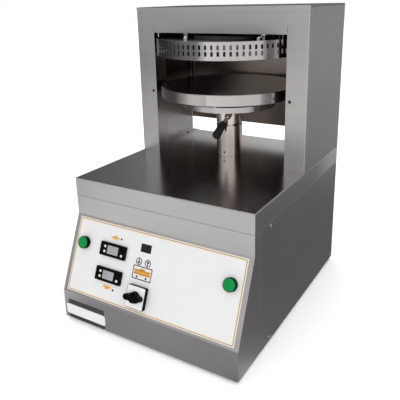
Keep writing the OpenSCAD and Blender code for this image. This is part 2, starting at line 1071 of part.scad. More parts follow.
module anti_turn_arm() {
    color("darkgray")
        on_axis(arm_z)
            linear_extrude(arm_t)
                difference() {
                    union() {
                        circle(d = arm_hub_dia);
                        translate([-arm_tail_w / 2, 0])
                            square([arm_tail_w, rod_back]);
                        translate([0, rod_back])
                            circle(d = arm_tail_w);
                    }
                    circle(d = column_dia + 2 * run);
                    translate([0, rod_back])
                        circle(d = rod_dia + 2 * run);
                }
}

module guide_rod() {
    color("gainsboro")
        translate([0, rod_y, gear_z])
            cylinder(d = rod_dia, h = guide_plate_z - gear_z);
}

module limit_switches() {
    body_y = rod_y - limit_w / 2;
    limit_top = arm_z + arm_t / 2 + stroke + limit_body_h / 2;
    color("dimgray") {
        slab([limit_x, body_y, gear_z], [limit_x + limit_t, body_y + limit_w, limit_top]);
        slab([limit_x, body_y, gear_z], [limit_x + limit_foot, body_y + limit_w, gear_z + limit_t]);
    }
    color("black")
        for (z = [arm_z + arm_t / 2, arm_z + arm_t / 2 + stroke])
            slab([arm_tail_w / 2 + limit_gap, body_y, z - limit_body_h / 2],
                 [limit_x, body_y + limit_body_w, z + limit_body_h / 2]);
}

// Places children at the carrier's bolts
module at_bolts(z) {
    for (i = [0 : bolt_n - 1])
        round_axis(bolt_turn + i * 360 / bolt_n, bolt_ring_r, z)
            children();
}

module carrier_disc() {
    color("lightgray")
        difference() {
            union() {
                on_axis(carrier_z)
                    cylinder(d = carrier_dia, h = carrier_t);
                on_axis(spindle_z)
                    cylinder(d = spindle_dia, h = carrier_z - spindle_z + over);
            }
            at_bolts(carrier_z - over)
                cylinder(d = bolt_hole_dia, h = carrier_t + 2 * over);
        }
}

module plate_spacers() {
    color("whitesmoke")
        for (i = [0 : bolt_n - 1])
            round_axis(spacer_turn + i * 360 / bolt_n, spacer_ring_r, carrier_top)
                cylinder(d = spacer_dia, h = carrier_gap);
}

module carrier_bolts() {
    color("gray")
        at_bolts(carrier_z - bolt_head_h) {
            hex(bolt_hex, bolt_head_h);
            cylinder(d = bolt_dia, h = bolt_head_h + carrier_t + carrier_gap + bolt_in);
        }
}

module lower_plate() {
    color("gainsboro")
        difference() {
            on_axis(plate_z)
                hot_plate(plate_t);
            at_bolts(plate_z - over)
                cylinder(d = bolt_hole_dia, h = bolt_hole_in + over);
        }
}

module lower_heater() {
    color("tan")
        on_axis(plate_z - heater_t)
            tube(heater_dia, heater_hole_dia, heater_t);
}

// Places children at the root of the lever, with +Z out along the rod
module on_lever(out) {
    round_axis(lever_turn, lever_root, lever_z)
        rotate([90 + lever_dip, 0, lever_skew])
            translate([0, 0, out])
                children();
}

module adjuster_ring() {
    color("gainsboro")
        difference() {
            union() {
                on_axis(collar_z)
                    cylinder(d = column_dia, h = collar_h);
                on_lever(0)
                    cylinder(d = lever_boss_dia, h = lever_boss_l);
                round_axis(collar_lug_turn, column_dia / 2 - over, collar_z + collar_lug_up)
                    rotate([90, 0, 0])
                        cylinder(d = collar_lug_dia, h = collar_lug_l + over);
            }
            on_axis(collar_z - over)
                cylinder(d = spindle_dia + 2 * run, h = collar_h + 2 * over);
            on_axis(collar_z + collar_h - 2 * collar_groove_h)
                tube(column_dia + 2 * over, column_dia - 2 * collar_groove, collar_groove_h);
            on_lever(over)
                cylinder(d = lever_rod_dia + 2 * run, h = lever_boss_l);
        }
}

module lever_rod() {
    color("gainsboro")
        on_lever(over + run)
            cylinder(d = lever_rod_dia, h = lever_rod_l);
}

module lever_grip() {
    color("black")
        on_lever(grip_in)
            difference() {
                union() {
                    cylinder(d1 = grip_neck_dia, d2 = grip_dia, h = grip_l);
                    translate([0, 0, grip_l])
                        sphere(d = grip_dia);
                }
                translate([0, 0, -over])
                    cylinder(d = lever_rod_dia + 2 * run, h = lever_rod_l - grip_in + 2 * over + fit);
            }
}

module overlay() {
    color("white")
        difference() {
            on_panel(0, slope / 2)
                linear_extrude(overlay_t)
                    square([case_w - 2 * overlay_in, slope - 2 * overlay_end], center = true);
            panel_cuts();
        }
}

module controller(drop) {
    on_panel(ctl_x, drop, overlay_t)
        difference() {
            union() {
                linear_extrude(ctl_frame_t)
                    round_rect(ctl_w, ctl_h, ctl_corner);
                translate([0, 0, over - ctl_body_l])
                    linear_extrude(ctl_body_l)
                        square([ctl_w - ctl_body_w_cut, ctl_h - ctl_body_h_cut], center = true);
            }
            translate([0, 0, ctl_frame_t])
                cube([glass_w, glass_h, 2 * glass_depth], center = true);
            for (p = key_places)
                translate([p[0], p[1], key_floor])
                    cylinder(d = key_dia + 2 * key_fit, h = ctl_frame_t);
        }
}

module controller_key(drop, place) {
    seat = key_floor + key_rest;
    on_panel(ctl_x, drop, overlay_t)
        translate([place[0], place[1], seat])
            cylinder(d = key_dia, h = ctl_frame_t + key_proud - seat);
}

module upper_controller() {
    color("black")
        controller(ctl_drops[0]);
}

module lower_controller() {
    color("black")
        controller(ctl_drops[1]);
}

module upper_key_a() {
    color("white")
        controller_key(ctl_drops[0], key_places[0]);
}

module upper_key_b() {
    color("white")
        controller_key(ctl_drops[0], key_places[1]);
}

module upper_key_c() {
    color("white")
        controller_key(ctl_drops[0], key_places[2]);
}

module lower_key_a() {
    color("white")
        controller_key(ctl_drops[1], key_places[0]);
}

module lower_key_b() {
    color("white")
        controller_key(ctl_drops[1], key_places[1]);
}

module lower_key_c() {
    color("white")
        controller_key(ctl_drops[1], key_places[2]);
}

module timer_module() {
    color("black")
        on_panel(timer_x, timer_drop) {
            translate([-timer_glass_w / 2, -timer_glass_h / 2, -sheet - over])
                cube([timer_glass_w, timer_glass_h, sheet + over + overlay_t + timer_proud]);
            translate([-timer_body_w / 2, -timer_body_h / 2 - timer_shift, -sheet - fit - timer_body_t])
                cube([timer_body_w, timer_body_h, timer_body_t]);
        }
}

module switch_plate() {
    color("white")
        on_panel(switch_x, switch_drop, overlay_t)
            linear_extrude(switch_t)
                difference() {
                    round_rect(switch_w, switch_w, switch_r);
                    circle(d = knob_shaft_dia + 2 * run);
                }
}

module switch_knob() {
    color("black")
        on_panel(switch_x, switch_drop) {
            translate([0, 0, knob_root - knob_shaft_l])
                cylinder(d = knob_shaft_dia, h = knob_shaft_l + over);
            translate([0, 0, knob_root])
                cylinder(d1 = knob_hub_dia, d2 = knob_hub_dia - 2 * over, h = knob_hub_h);
            translate([0, 0, knob_root])
                linear_extrude(knob_top - knob_root)
                    round_rect(knob_bar_l, knob_bar_t, knob_bar_t / 2 - run);
        }
}

module button_bezels() {
    color("black")
        for (s = [-1, 1])
            on_panel(s * button_x, button_drop, overlay_t)
                difference() {
                    union() {
                        cylinder(d = bezel_dia, h = bezel_h);
                        translate([0, 0, -barrel_l])
                            cylinder(d = barrel_dia, h = barrel_l + over / 2);
                    }
                    translate([0, 0, bezel_floor])
                        cylinder(d = bezel_dia - 2 * bezel_wall, h = bezel_h);
                    translate([0, 0, -barrel_l - over])
                        cylinder(d = barrel_bore_dia, h = barrel_l + bezel_h);
                }
}

module push_cap(s) {
    cap_dia = bezel_dia - 2 * bezel_wall - 2 * cap_fit;
    color("green")
        on_panel(s * button_x, button_drop, overlay_t) {
            translate([0, 0, bezel_h + cap_proud - cap_t])
                cylinder(d = cap_dia, h = cap_t - cap_round);
            translate([0, 0, bezel_h + cap_proud - cap_round])
                cylinder(d1 = cap_dia, d2 = cap_dia - 2 * cap_round, h = cap_round);
            translate([0, 0, -stem_l])
                cylinder(d = stem_dia, h = stem_l + bezel_h + cap_proud - cap_t + cap_round);
        }
}

module left_button() {
    push_cap(-1);
}

module right_button() {
    push_cap(1);
}

module electrics() {
    block_z = overlay_t - barrel_l - block_l;
    color("dimgray") {
        for (s = [-1, 1])
            on_panel(s * button_x, button_drop, block_z)
                translate([-block_w / 2, -block_w / 2, 0])
                    cube([block_w, block_w, block_l]);
        on_panel(switch_x, switch_drop)
            translate([-switch_body_w / 2, -switch_body_w / 2, -sheet - 2 * fit - switch_body_l])
                cube([switch_body_w, switch_body_w, switch_body_l]);
        slab([rail_x - rail_w / 2, y0 + rail_in - rail_d / 2, floor_z],
             [rail_x + rail_w / 2, y0 + rail_in + rail_d / 2, floor_z + rail_h]);
    }
    color("lightgray")
        for (i = [0 : contactor_n - 1])
            translate([rail_x + (i - (contactor_n - 1) / 2) * contactor_pitch - contactor_w / 2,
                       y0 + rail_in - contactor_d / 2, floor_z + rail_h])
                cube([contactor_w, contactor_d, contactor_h]);
}

base_tray();
feet();
front_panel();
left_side_panel();
right_side_panel();
base_rear_panel();
cable_gland();
deck();
tie_columns();
tower_front();
left_post_liner();
right_post_liner();
tower_left_side();
tower_right_side();
tower_top();
tower_rear_panel();
head_plate();
upper_plate();
upper_heater();
upper_studs();
guard_ring();
guard_straps();
guard_nuts();
guide_housing();
guide_bushes();
drive_plate();
gearbox();
motor();
fan_cover();
drive_screw();
screw_nut();
ram_column();
anti_turn_arm();
guide_rod();
limit_switches();
carrier_disc();
plate_spacers();
carrier_bolts();
lower_plate();
lower_heater();
adjuster_ring();
lever_rod();
lever_grip();
overlay();
upper_controller();
lower_controller();
upper_key_a();
upper_key_b();
upper_key_c();
lower_key_a();
lower_key_b();
lower_key_c();
timer_module();
switch_plate();
switch_knob();
button_bezels();
left_button();
right_button();
electrics();
panel_screws();
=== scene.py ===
import json
import math

import bmesh
import bpy
import numpy as np
from mathutils import Matrix, Vector


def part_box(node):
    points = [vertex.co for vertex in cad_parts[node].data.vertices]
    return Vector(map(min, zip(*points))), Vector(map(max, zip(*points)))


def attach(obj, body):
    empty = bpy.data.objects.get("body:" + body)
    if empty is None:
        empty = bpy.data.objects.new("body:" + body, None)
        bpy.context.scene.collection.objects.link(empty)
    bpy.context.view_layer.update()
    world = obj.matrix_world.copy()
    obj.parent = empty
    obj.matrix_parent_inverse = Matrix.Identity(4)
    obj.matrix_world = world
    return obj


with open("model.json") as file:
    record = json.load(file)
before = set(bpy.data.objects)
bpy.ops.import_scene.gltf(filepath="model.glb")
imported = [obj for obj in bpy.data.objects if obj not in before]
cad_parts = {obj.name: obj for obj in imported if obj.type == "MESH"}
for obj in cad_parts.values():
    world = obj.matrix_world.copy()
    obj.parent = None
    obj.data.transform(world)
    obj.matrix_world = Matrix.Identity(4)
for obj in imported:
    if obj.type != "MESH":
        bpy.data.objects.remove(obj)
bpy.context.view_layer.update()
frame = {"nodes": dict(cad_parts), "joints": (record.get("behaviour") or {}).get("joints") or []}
nodes = frame["nodes"]
scene = bpy.context.scene
scene.view_settings.view_transform = "Standard"

mm = 0.001
mergeReach = 0.002 * mm

# mesh tools


def gridFaces(rows, cols, wrapRows=False, wrapCols=False):
    # quads between neighbouring points of a rows x cols grid
    i, j = np.meshgrid(np.arange(rows if wrapRows else rows - 1),
                       np.arange(cols if wrapCols else cols - 1), indexing="ij")
    iNext, jNext = (i + 1) % rows, (j + 1) % cols
    corners = (i * cols + j, iNext * cols + j, iNext * cols + jNext, i * cols + jNext)
    return np.stack(corners, -1).reshape(-1, 4)


def makePiece(name, parts, material, body):
    # parts is a list of (points, faces); all go into one closed mesh with its place in the points
    points, faces, start = [], [], 0
    for partPoints, partFaces in parts:
        flat = partPoints.reshape(-1, 3)
        points.append(flat)
        faces.append(partFaces + start)
        start += len(flat)
    mesh = bpy.data.meshes.new(name)
    mesh.from_pydata(np.concatenate(points).tolist(), [], np.concatenate(faces).tolist())
    work = bmesh.new()
    work.from_mesh(mesh)
    bmesh.ops.remove_doubles(work, verts=work.verts, dist=mergeReach)
    bmesh.ops.recalc_face_normals(work, faces=work.faces)
    work.to_mesh(mesh)
    work.free()
    piece = bpy.data.objects.new(name, mesh)
    scene.collection.objects.link(piece)
    mesh.materials.append(material)
    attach(piece, body)
    return piece


def roundRect(width, height, radius, steps=8):
    # outline of a rectangle whose corners are quarter circles
    turn = np.linspace(0, math.pi / 2, steps)
    arc = np.stack([np.cos(turn), np.sin(turn)], -1) * radius
    reach = np.array([width / 2 - radius, height / 2 - radius])
    quarters = [((1, 1), (1, 0)), ((-1, 1), (0, 1)), ((-1, -1), (-1, 0)), ((1, -1), (0, -1))]
    sides = []
    for corner, (c, s) in quarters:
        turned = np.stack([arc[:, 0] * c - arc[:, 1] * s, arc[:, 0] * s + arc[:, 1] * c], -1)
        sides.append(turned + np.array(corner) * reach)
    return np.concatenate(sides)


def ring2d(radius, steps=40):
    # outline of a circle
    turn = np.linspace(0, 2 * math.pi, steps, endpoint=False)
    return np.stack([np.cos(turn), np.sin(turn)], -1) * radius


def patchPart(place, outline, low, high, heart=(0, 0)):
    # a flat slab over a star-shaped outline: heart above, rim above, rim below, heart below
    heartRow = np.broadcast_to(np.array(heart, float), outline.shape)
    rows = [(heartRow, high), (outline, high), (outline, low), (heartRow, low)]
    points = np.stack([place(row[:, 0], row[:, 1], np.full(len(row), level)) for row, level in rows])
    return points, gridFaces(4, len(outline), wrapCols=True)


def loopPart(place, outer, inner, low, high):
    # a closed line: the band between two outlines of equal count, with a thickness
    rows = [(outer, low), (outer, high), (inner, high), (inner, low)]
    points = np.stack([place(row[:, 0], row[:, 1], np.full(len(row), level)) for row, level in rows])
    return points, gridFaces(4, len(outer), wrapRows=True, wrapCols=True)


# the slanted control panel as a drawing board

panel = {"filmThick": 0.6 * mm, "inkThick": 0.12 * mm}
switchJoint = next(j for j in frame["joints"] if j["name"] == "main_switch_turn")
panelOut = np.array(switchJoint["axis"], float)
panelUp = np.cross(panelOut, [1.0, 0.0, 0.0])
filmLow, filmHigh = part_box("overlay")
panelTop = np.array([0.0, filmHigh.y + panel["filmThick"] * panelOut[1], filmHigh.z])
filmWidth = filmHigh.x - filmLow.x
filmHeight = float(np.dot(panelTop - np.array([0.0, filmLow.y, filmLow.z]), panelUp))


def boardAt(x, down):
    # a placing function for outlines centred at x across and down from the film's top edge, in metres
    def place(u, v, rise):
        u, v, rise = np.asarray(u, float), np.asarray(v, float), np.asarray(rise, float)
        across = np.stack([x + u, np.zeros_like(u), np.zeros_like(u)], -1)
        return panelTop + across + (v - down)[:, None] * panelUp + rise[:, None] * panelOut
    return place


# shader groups


def newGroup(name, inputs, outputs):
    # an empty shader group with named sockets
    group = bpy.data.node_groups.new(name, "ShaderNodeTree")
    for label, kind, value in inputs:
        socket = group.interface.new_socket(label, in_out="INPUT", socket_type=kind)
        socket.default_value = value
    for label, kind in outputs:
        group.interface.new_socket(label, in_out="OUTPUT", socket_type=kind)
    return group, group.nodes.new("NodeGroupInput"), group.nodes.new("NodeGroupOutput")


def addNode(tree, kind, values=None, **settings):
    # one node with its properties and socket values
    node = tree.nodes.new(kind)
    for key, value in settings.items():
        setattr(node, key, value)
    for key, value in (values or {}).items():
        node.inputs[key].default_value = value
    return node


grainShare = {"streak": 0.45, "cloud": 0.35}


def brushGrainGroup():
    # long scratches: noise on stretched coordinates gives height and roughness, clouds and streaks the tone
    tree, source, sink = newGroup(
        "brushGrain",
        [("Coordinates", "NodeSocketVector", (0, 0, 0)), ("Stretch", "NodeSocketVector", (1, 1, 1)),
         ("Smooth", "NodeSocketFloat", 0.2), ("Rough", "NodeSocketFloat", 0.4)],
        [("Roughness", "NodeSocketFloat"), ("Height", "NodeSocketFloat"), ("Cloud", "NodeSocketFloat")])
    stretch = addNode(tree, "ShaderNodeVectorMath", operation="MULTIPLY")
    grain = addNode(tree, "ShaderNodeTexNoise", {"Scale": 1.0, "Detail": 5.0, "Roughness": 0.7})
    cloud = addNode(tree, "ShaderNodeTexNoise", {"Scale": 4.5, "Detail": 3.0, "Roughness": 0.5})
    streak = addNode(tree, "ShaderNodeTexNoise", {"Scale": 0.3, "Detail": 2.0, "Roughness": 0.6})
    wiped = addNode(tree, "ShaderNodeMix", {0: grainShare["streak"]}, data_type="FLOAT")
    slotLight = addNode(tree, "ShaderNodeMix", {0: grainShare["cloud"]}, data_type="FLOAT")
    band = addNode(tree, "ShaderNodeMapRange", {"From Min": 0.3, "From Max": 0.7})
    tree.links.new(source.outputs["Coordinates"], stretch.inputs[0])
    tree.links.new(source.outputs["Stretch"], stretch.inputs[1])
    tree.links.new(stretch.outputs[0], grain.inputs["Vector"])
    tree.links.new(stretch.outputs[0], streak.inputs["Vector"])
    tree.links.new(source.outputs["Coordinates"], cloud.inputs["Vector"])
    tree.links.new(cloud.outputs["Fac"], wiped.inputs[2])
    tree.links.new(streak.outputs["Fac"], wiped.inputs[3])
    tree.links.new(grain.outputs["Fac"], slotLight.inputs[2])
    tree.links.new(cloud.outputs["Fac"], slotLight.inputs[3])
    tree.links.new(slotLight.outputs[0], band.inputs["Value"])
    tree.links.new(source.outputs["Smooth"], band.inputs["To Min"])
    tree.links.new(source.outputs["Rough"], band.inputs["To Max"])
    tree.links.new(band.outputs["Result"], sink.inputs["Roughness"])
    tree.links.new(grain.outputs["Fac"], sink.inputs["Height"])
    tree.links.new(wiped.outputs[0], sink.inputs["Cloud"])
    return tree


def mouldSkinGroup():
    # the fine pitted skin of moulded plastic, rubber and paint, with slow shading clouds
    tree, source, sink = newGroup(
        "mouldSkin",
        [("Coordinates", "NodeSocketVector", (0, 0, 0)), ("Pitch", "NodeSocketFloat", 1500.0),
         ("Smooth", "NodeSocketFloat", 0.3), ("Rough", "NodeSocketFloat", 0.5)],
        [("Roughness", "NodeSocketFloat"), ("Height", "NodeSocketFloat"), ("Cloud", "NodeSocketFloat")])
    pits = addNode(tree, "ShaderNodeTexNoise", {"Detail": 2.0, "Roughness": 0.6})
    cloud = addNode(tree, "ShaderNodeTexNoise", {"Scale": 30.0, "Detail": 3.0})
    band = addNode(tree, "ShaderNodeMapRange", {"From Min": 0.35, "From Max": 0.65})
    tree.links.new(source.outputs["Coordinates"], pits.inputs["Vector"])
    tree.links.new(source.outputs["Pitch"], pits.inputs["Scale"])
    tree.links.new(source.outputs["Coordinates"], cloud.inputs["Vector"])
    tree.links.new(cloud.outputs["Fac"], band.inputs["Value"])
    tree.links.new(source.outputs["Smooth"], band.inputs["To Min"])
    tree.links.new(source.outputs["Rough"], band.inputs["To Max"])
    tree.links.new(band.outputs["Result"], sink.inputs["Roughness"])
    tree.links.new(pits.outputs["Fac"], sink.inputs["Height"])
    tree.links.new(cloud.outputs["Fac"], sink.inputs["Cloud"])
    return tree


def edgeHighlightGroup():
    # 1 where a rounded normal leaves the true one, along sharp edges, and 0 on the flat: the mask of the
    # painted edge highlight
    tree, source, sink = newGroup(
        "edgeHighlight", [("Radius", "NodeSocketFloat", mm)], [("Mask", "NodeSocketFloat")])
    rounded = addNode(tree, "ShaderNodeBevel", samples=6)
    true = addNode(tree, "ShaderNodeNewGeometry")
    alike = addNode(tree, "ShaderNodeVectorMath", operation="DOT_PRODUCT")
    mask = addNode(tree, "ShaderNodeMapRange", {"From Min": 0.99, "From Max": 0.85})
    tree.links.new(source.outputs["Radius"], rounded.inputs["Radius"])
    tree.links.new(rounded.outputs["Normal"], alike.inputs[0])
    tree.links.new(true.outputs["Normal"], alike.inputs[1])
    tree.links.new(alike.outputs["Value"], mask.inputs["Value"])
    tree.links.new(mask.outputs["Result"], sink.inputs["Mask"])
    return tree


brushGrain = brushGrainGroup()
mouldSkin = mouldSkinGroup()
edgeHighlight = edgeHighlightGroup()
print("shader groups built")

# materials


def startMaterial(name):
    # a new material with its surface shader and object coordinates
    material = bpy.data.materials.new(name)
    material.use_nodes = True
    tree = material.node_tree
    surface = tree.nodes["Principled BSDF"]
    coords = addNode(tree, "ShaderNodeTexCoord")
    return material, tree, surface, coords.outputs["Object"]


def placeGroup(tree, group, coords, values):
    # a shader group in a material, with that material's own values
    node = addNode(tree, "ShaderNodeGroup", node_tree=group)
    tree.links.new(coords, node.inputs["Coordinates"])
    for key, value in values.items():
        node.inputs[key].default_value = value
    return node


toneBand = {"From Min": 0.35, "From Max": 0.65}
# the colour of the painted highlight along sheet edges
edgeHighlightTone = (0.86, 0.85, 0.84)


def mixTone(tree, mask, dark, light):
    # a colour between two tones, from a mask's middle band
    spread = addNode(tree, "ShaderNodeMapRange", toneBand)
    tone = addNode(tree, "ShaderNodeMix", data_type="RGBA")
    tone.inputs[6].default_value = (*dark, 1)
    tone.inputs[7].default_value = (*light, 1)
    tree.links.new(mask, spread.inputs["Value"])
    tree.links.new(spread.outputs["Result"], tone.inputs[0])
    return tone.outputs[2]


def softNormal(tree, surface, height, distance, edge):
    # relief on top of slightly rounded edges
    bump = addNode(tree, "ShaderNodeBump", {"Strength": 1.0, "Distance": distance})
    if edge > 0:
        rounded = addNode(tree, "ShaderNodeBevel", {"Radius": edge}, samples=4)
        tree.links.new(rounded.outputs["Normal"], bump.inputs["Normal"])
    tree.links.new(height, bump.inputs["Height"])
    tree.links.new(bump.outputs["Normal"], surface.inputs["Normal"])


def climbNode(tree, fade):
    # from 0 to 1 between two places on an axis
    return addNode(tree, "ShaderNodeMapRange", {"From Min": fade[0], "From Max": fade[1]})


def paintLightAndStain(tree, coords, tone, lightAndStain):
    # a tone laid on steel that lies nearer the middle than a place on one axis, fading in with height:
    # painted shade, painted light and heat stain
    split = addNode(tree, "ShaderNodeSeparateXYZ")
    size = addNode(tree, "ShaderNodeMath", operation="ABSOLUTE")
    isInside = addNode(tree, "ShaderNodeMath", {1: lightAndStain["below"]}, operation="LESS_THAN")
    climb = climbNode(tree, lightAndStain["fade"])
    amount = addNode(tree, "ShaderNodeMath", operation="MULTIPLY")
    lightAndStainTone = addNode(tree, "ShaderNodeMix", data_type="RGBA")
    lightAndStainTone.inputs[7].default_value = (*lightAndStain["lightAndStainTone"], 1)
    tree.links.new(coords, split.inputs[0])
    tree.links.new(split.outputs[lightAndStain["axis"]], size.inputs[0])
    tree.links.new(size.outputs[0], isInside.inputs[0])
    tree.links.new(split.outputs["Z"], climb.inputs["Value"])
    tree.links.new(isInside.outputs[0], amount.inputs[0])
    tree.links.new(climb.outputs["Result"], amount.inputs[1])
    tree.links.new(amount.outputs[0], lightAndStainTone.inputs[0])
    tree.links.new(tone, lightAndStainTone.inputs[6])
    return lightAndStainTone.outputs[2]


def paintEdgeHighlight(tree, tone, radius):
    # painted highlight: the folded edges of the sheet are painted brighter, standing in for the light they
    # catch
    edgeGlint = addNode(tree, "ShaderNodeGroup", {"Radius": radius}, node_tree=edgeHighlight)
    highlighted = addNode(tree, "ShaderNodeMix", data_type="RGBA")
    highlighted.inputs[7].default_value = (*edgeHighlightTone, 1)
    tree.links.new(edgeGlint.outputs["Mask"], highlighted.inputs[0])
    tree.links.new(tone, highlighted.inputs[6])
    return highlighted.outputs[2]


def flatRough(tree, coords, rough, flat):
    # the upper face is ground duller than the turned rim
    split = addNode(tree, "ShaderNodeSeparateXYZ")
    climb = climbNode(tree, flat["fade"])
    ground = addNode(tree, "ShaderNodeMix", {3: flat["rough"]}, data_type="FLOAT")
    tree.links.new(coords, split.inputs[0])
    tree.links.new(split.outputs["Z"], climb.inputs["Value"])
    tree.links.new(climb.outputs["Result"], ground.inputs[0])
    tree.links.new(rough, ground.inputs[2])
    return ground.outputs[0]


def steelMaterial(name, look):
    # brushed or turned metal, with painted shade, painted light and heat stains, painted edge highlights and
    # a duller upper face where its look has them
    material, tree, surface, coords = startMaterial(name)
    grain = placeGroup(tree, brushGrain, coords, {
        "Stretch": look["stretch"], "Smooth": look["smooth"], "Rough": look["rough"]})
    surface.inputs["Metallic"].default_value = 1.0
    surface.inputs["Specular Tint"].default_value = (look.get("glance", 1.0),) * 3 + (1,)
    tone = mixTone(tree, grain.outputs["Cloud"], look["dark"], look["light"])
    # zones of painted shade, painted light and heat stain
    for lightAndStain in look.get("lightAndStain", []):
        tone = paintLightAndStain(tree, coords, tone, lightAndStain)
    # painted highlight: the sheet's edges are painted brighter
    if "edgeGlint" in look:
        tone = paintEdgeHighlight(tree, tone, look["edgeGlint"])
    tree.links.new(tone, surface.inputs["Base Color"])
    rough = grain.outputs["Roughness"]
    if "flat" in look:
        rough = flatRough(tree, coords, rough, look["flat"])
    tree.links.new(rough, surface.inputs["Roughness"])
    softNormal(tree, surface, grain.outputs["Height"], look["relief"], look["edge"])
    return material


def plasticMaterial(name, look):
    # moulded plastic, rubber, paint or ink between two tones
    material, tree, surface, coords = startMaterial(name)
    skin = placeGroup(tree, mouldSkin, coords, {
        "Pitch": look["pitch"], "Smooth": look["smooth"], "Rough": look["rough"]})
    tone = mixTone(tree, skin.outputs["Cloud"], look["dark"], look["light"])
    tree.links.new(tone, surface.inputs["Base Color"])
    tree.links.new(skin.outputs["Roughness"], surface.inputs["Roughness"])
    surface.inputs["Specular IOR Level"].default_value = look.get("shine", 0.5)
    softNormal(tree, surface, skin.outputs["Height"], look["relief"], look["edge"])
    return material


acrossX, acrossY, upright = (3, 900, 900), (900, 3, 900), (900, 900, 3)
steelLooks = {
    "frontSheet": {"stretch": acrossX, "smooth": 0.26, "rough": 0.36, "dark": (0.478, 0.463, 0.463),
                   "light": (0.532, 0.517, 0.517), "relief": 0.01 * mm, "edge": 1.2 * mm, "edgeGlint": 1.2 * mm},
    "sideSheet": {"stretch": acrossY, "smooth": 0.26, "rough": 0.36, "dark": (0.448, 0.443, 0.468),
                  "light": (0.502, 0.497, 0.522), "relief": 0.01 * mm, "edge": 1.6 * mm, "edgeGlint": 1.6 * mm},
    "uprightSheet": {"stretch": upright, "smooth": 0.2, "rough": 0.3, "dark": (0.6, 0.58, 0.57),
                     "light": (0.66, 0.64, 0.63), "relief": 0.01 * mm, "edge": 0.6 * mm},
    "guardSheet": {"stretch": (300, 300, 20), "smooth": 0.08, "rough": 0.15, "dark": (0.52, 0.505, 0.49),
                   "light": (0.58, 0.565, 0.55), "relief": 0.004 * mm, "edge": 0.3 * mm},
    "hotPlate": {"stretch": (120, 120, 20), "smooth": 0.05, "rough": 0.11, "dark": (0.44, 0.424, 0.408),
                 "light": (0.49, 0.473, 0.456), "relief": 0.002 * mm, "edge": 0.8 * mm},
    "turnedSteel": {"stretch": (20, 20, 1400), "smooth": 0.14, "rough": 0.26, "dark": (0.62, 0.56, 0.52),
                    "light": (0.68, 0.62, 0.58), "relief": 0.006 * mm, "edge": 0.5 * mm},
    "columnSteel": {"stretch": (20, 20, 1400), "smooth": 0.14, "rough": 0.26, "dark": (0.77, 0.69, 0.64),
                    "light": (0.83, 0.75, 0.7), "relief": 0.006 * mm, "edge": 0.5 * mm},
    "carrierSteel": {"stretch": (20, 20, 1400), "smooth": 0.12, "rough": 0.22, "dark": (0.46, 0.445, 0.43),
                     "light": (0.52, 0.505, 0.49), "relief": 0.006 * mm, "edge": 0.5 * mm},
    "brightSteel": {"stretch": (200, 200, 200), "smooth": 0.1, "rough": 0.18, "dark": (0.74, 0.73, 0.71),
                    "light": (0.8, 0.79, 0.77), "relief": 0.002 * mm, "edge": 0.4 * mm},
    "hotPlateTop": {"stretch": (120, 120, 20), "smooth": 0.2, "rough": 0.3, "dark": (0.16, 0.15, 0.14),
                    "light": (0.2, 0.19, 0.18), "relief": 0.002 * mm, "edge": 0.8 * mm},
    "darkSteel": {"stretch": (200, 200, 200), "smooth": 0.3, "rough": 0.45, "dark": (0.1, 0.095, 0.09),
                  "light": (0.15, 0.14, 0.135), "relief": 0.006 * mm, "edge": 0.4 * mm},
    "zincSheet": {"stretch": (60, 60, 60), "smooth": 0.4, "rough": 0.58, "dark": (0.4, 0.42, 0.43),
                  "light": (0.54, 0.56, 0.57), "relief": 0.01 * mm, "edge": 0.6 * mm},
    "castMetal": {"stretch": (500, 500, 500), "smooth": 0.45, "rough": 0.65, "dark": (0.38, 0.39, 0.4),
                  "light": (0.48, 0.49, 0.5), "relief": 0.06 * mm, "edge": 1.2 * mm},
    "bronze": {"stretch": (20, 20, 1200), "smooth": 0.2, "rough": 0.36, "dark": (0.5, 0.3, 0.13),
               "light": (0.62, 0.4, 0.18), "relief": 0.006 * mm, "edge": 0.4 * mm},
}
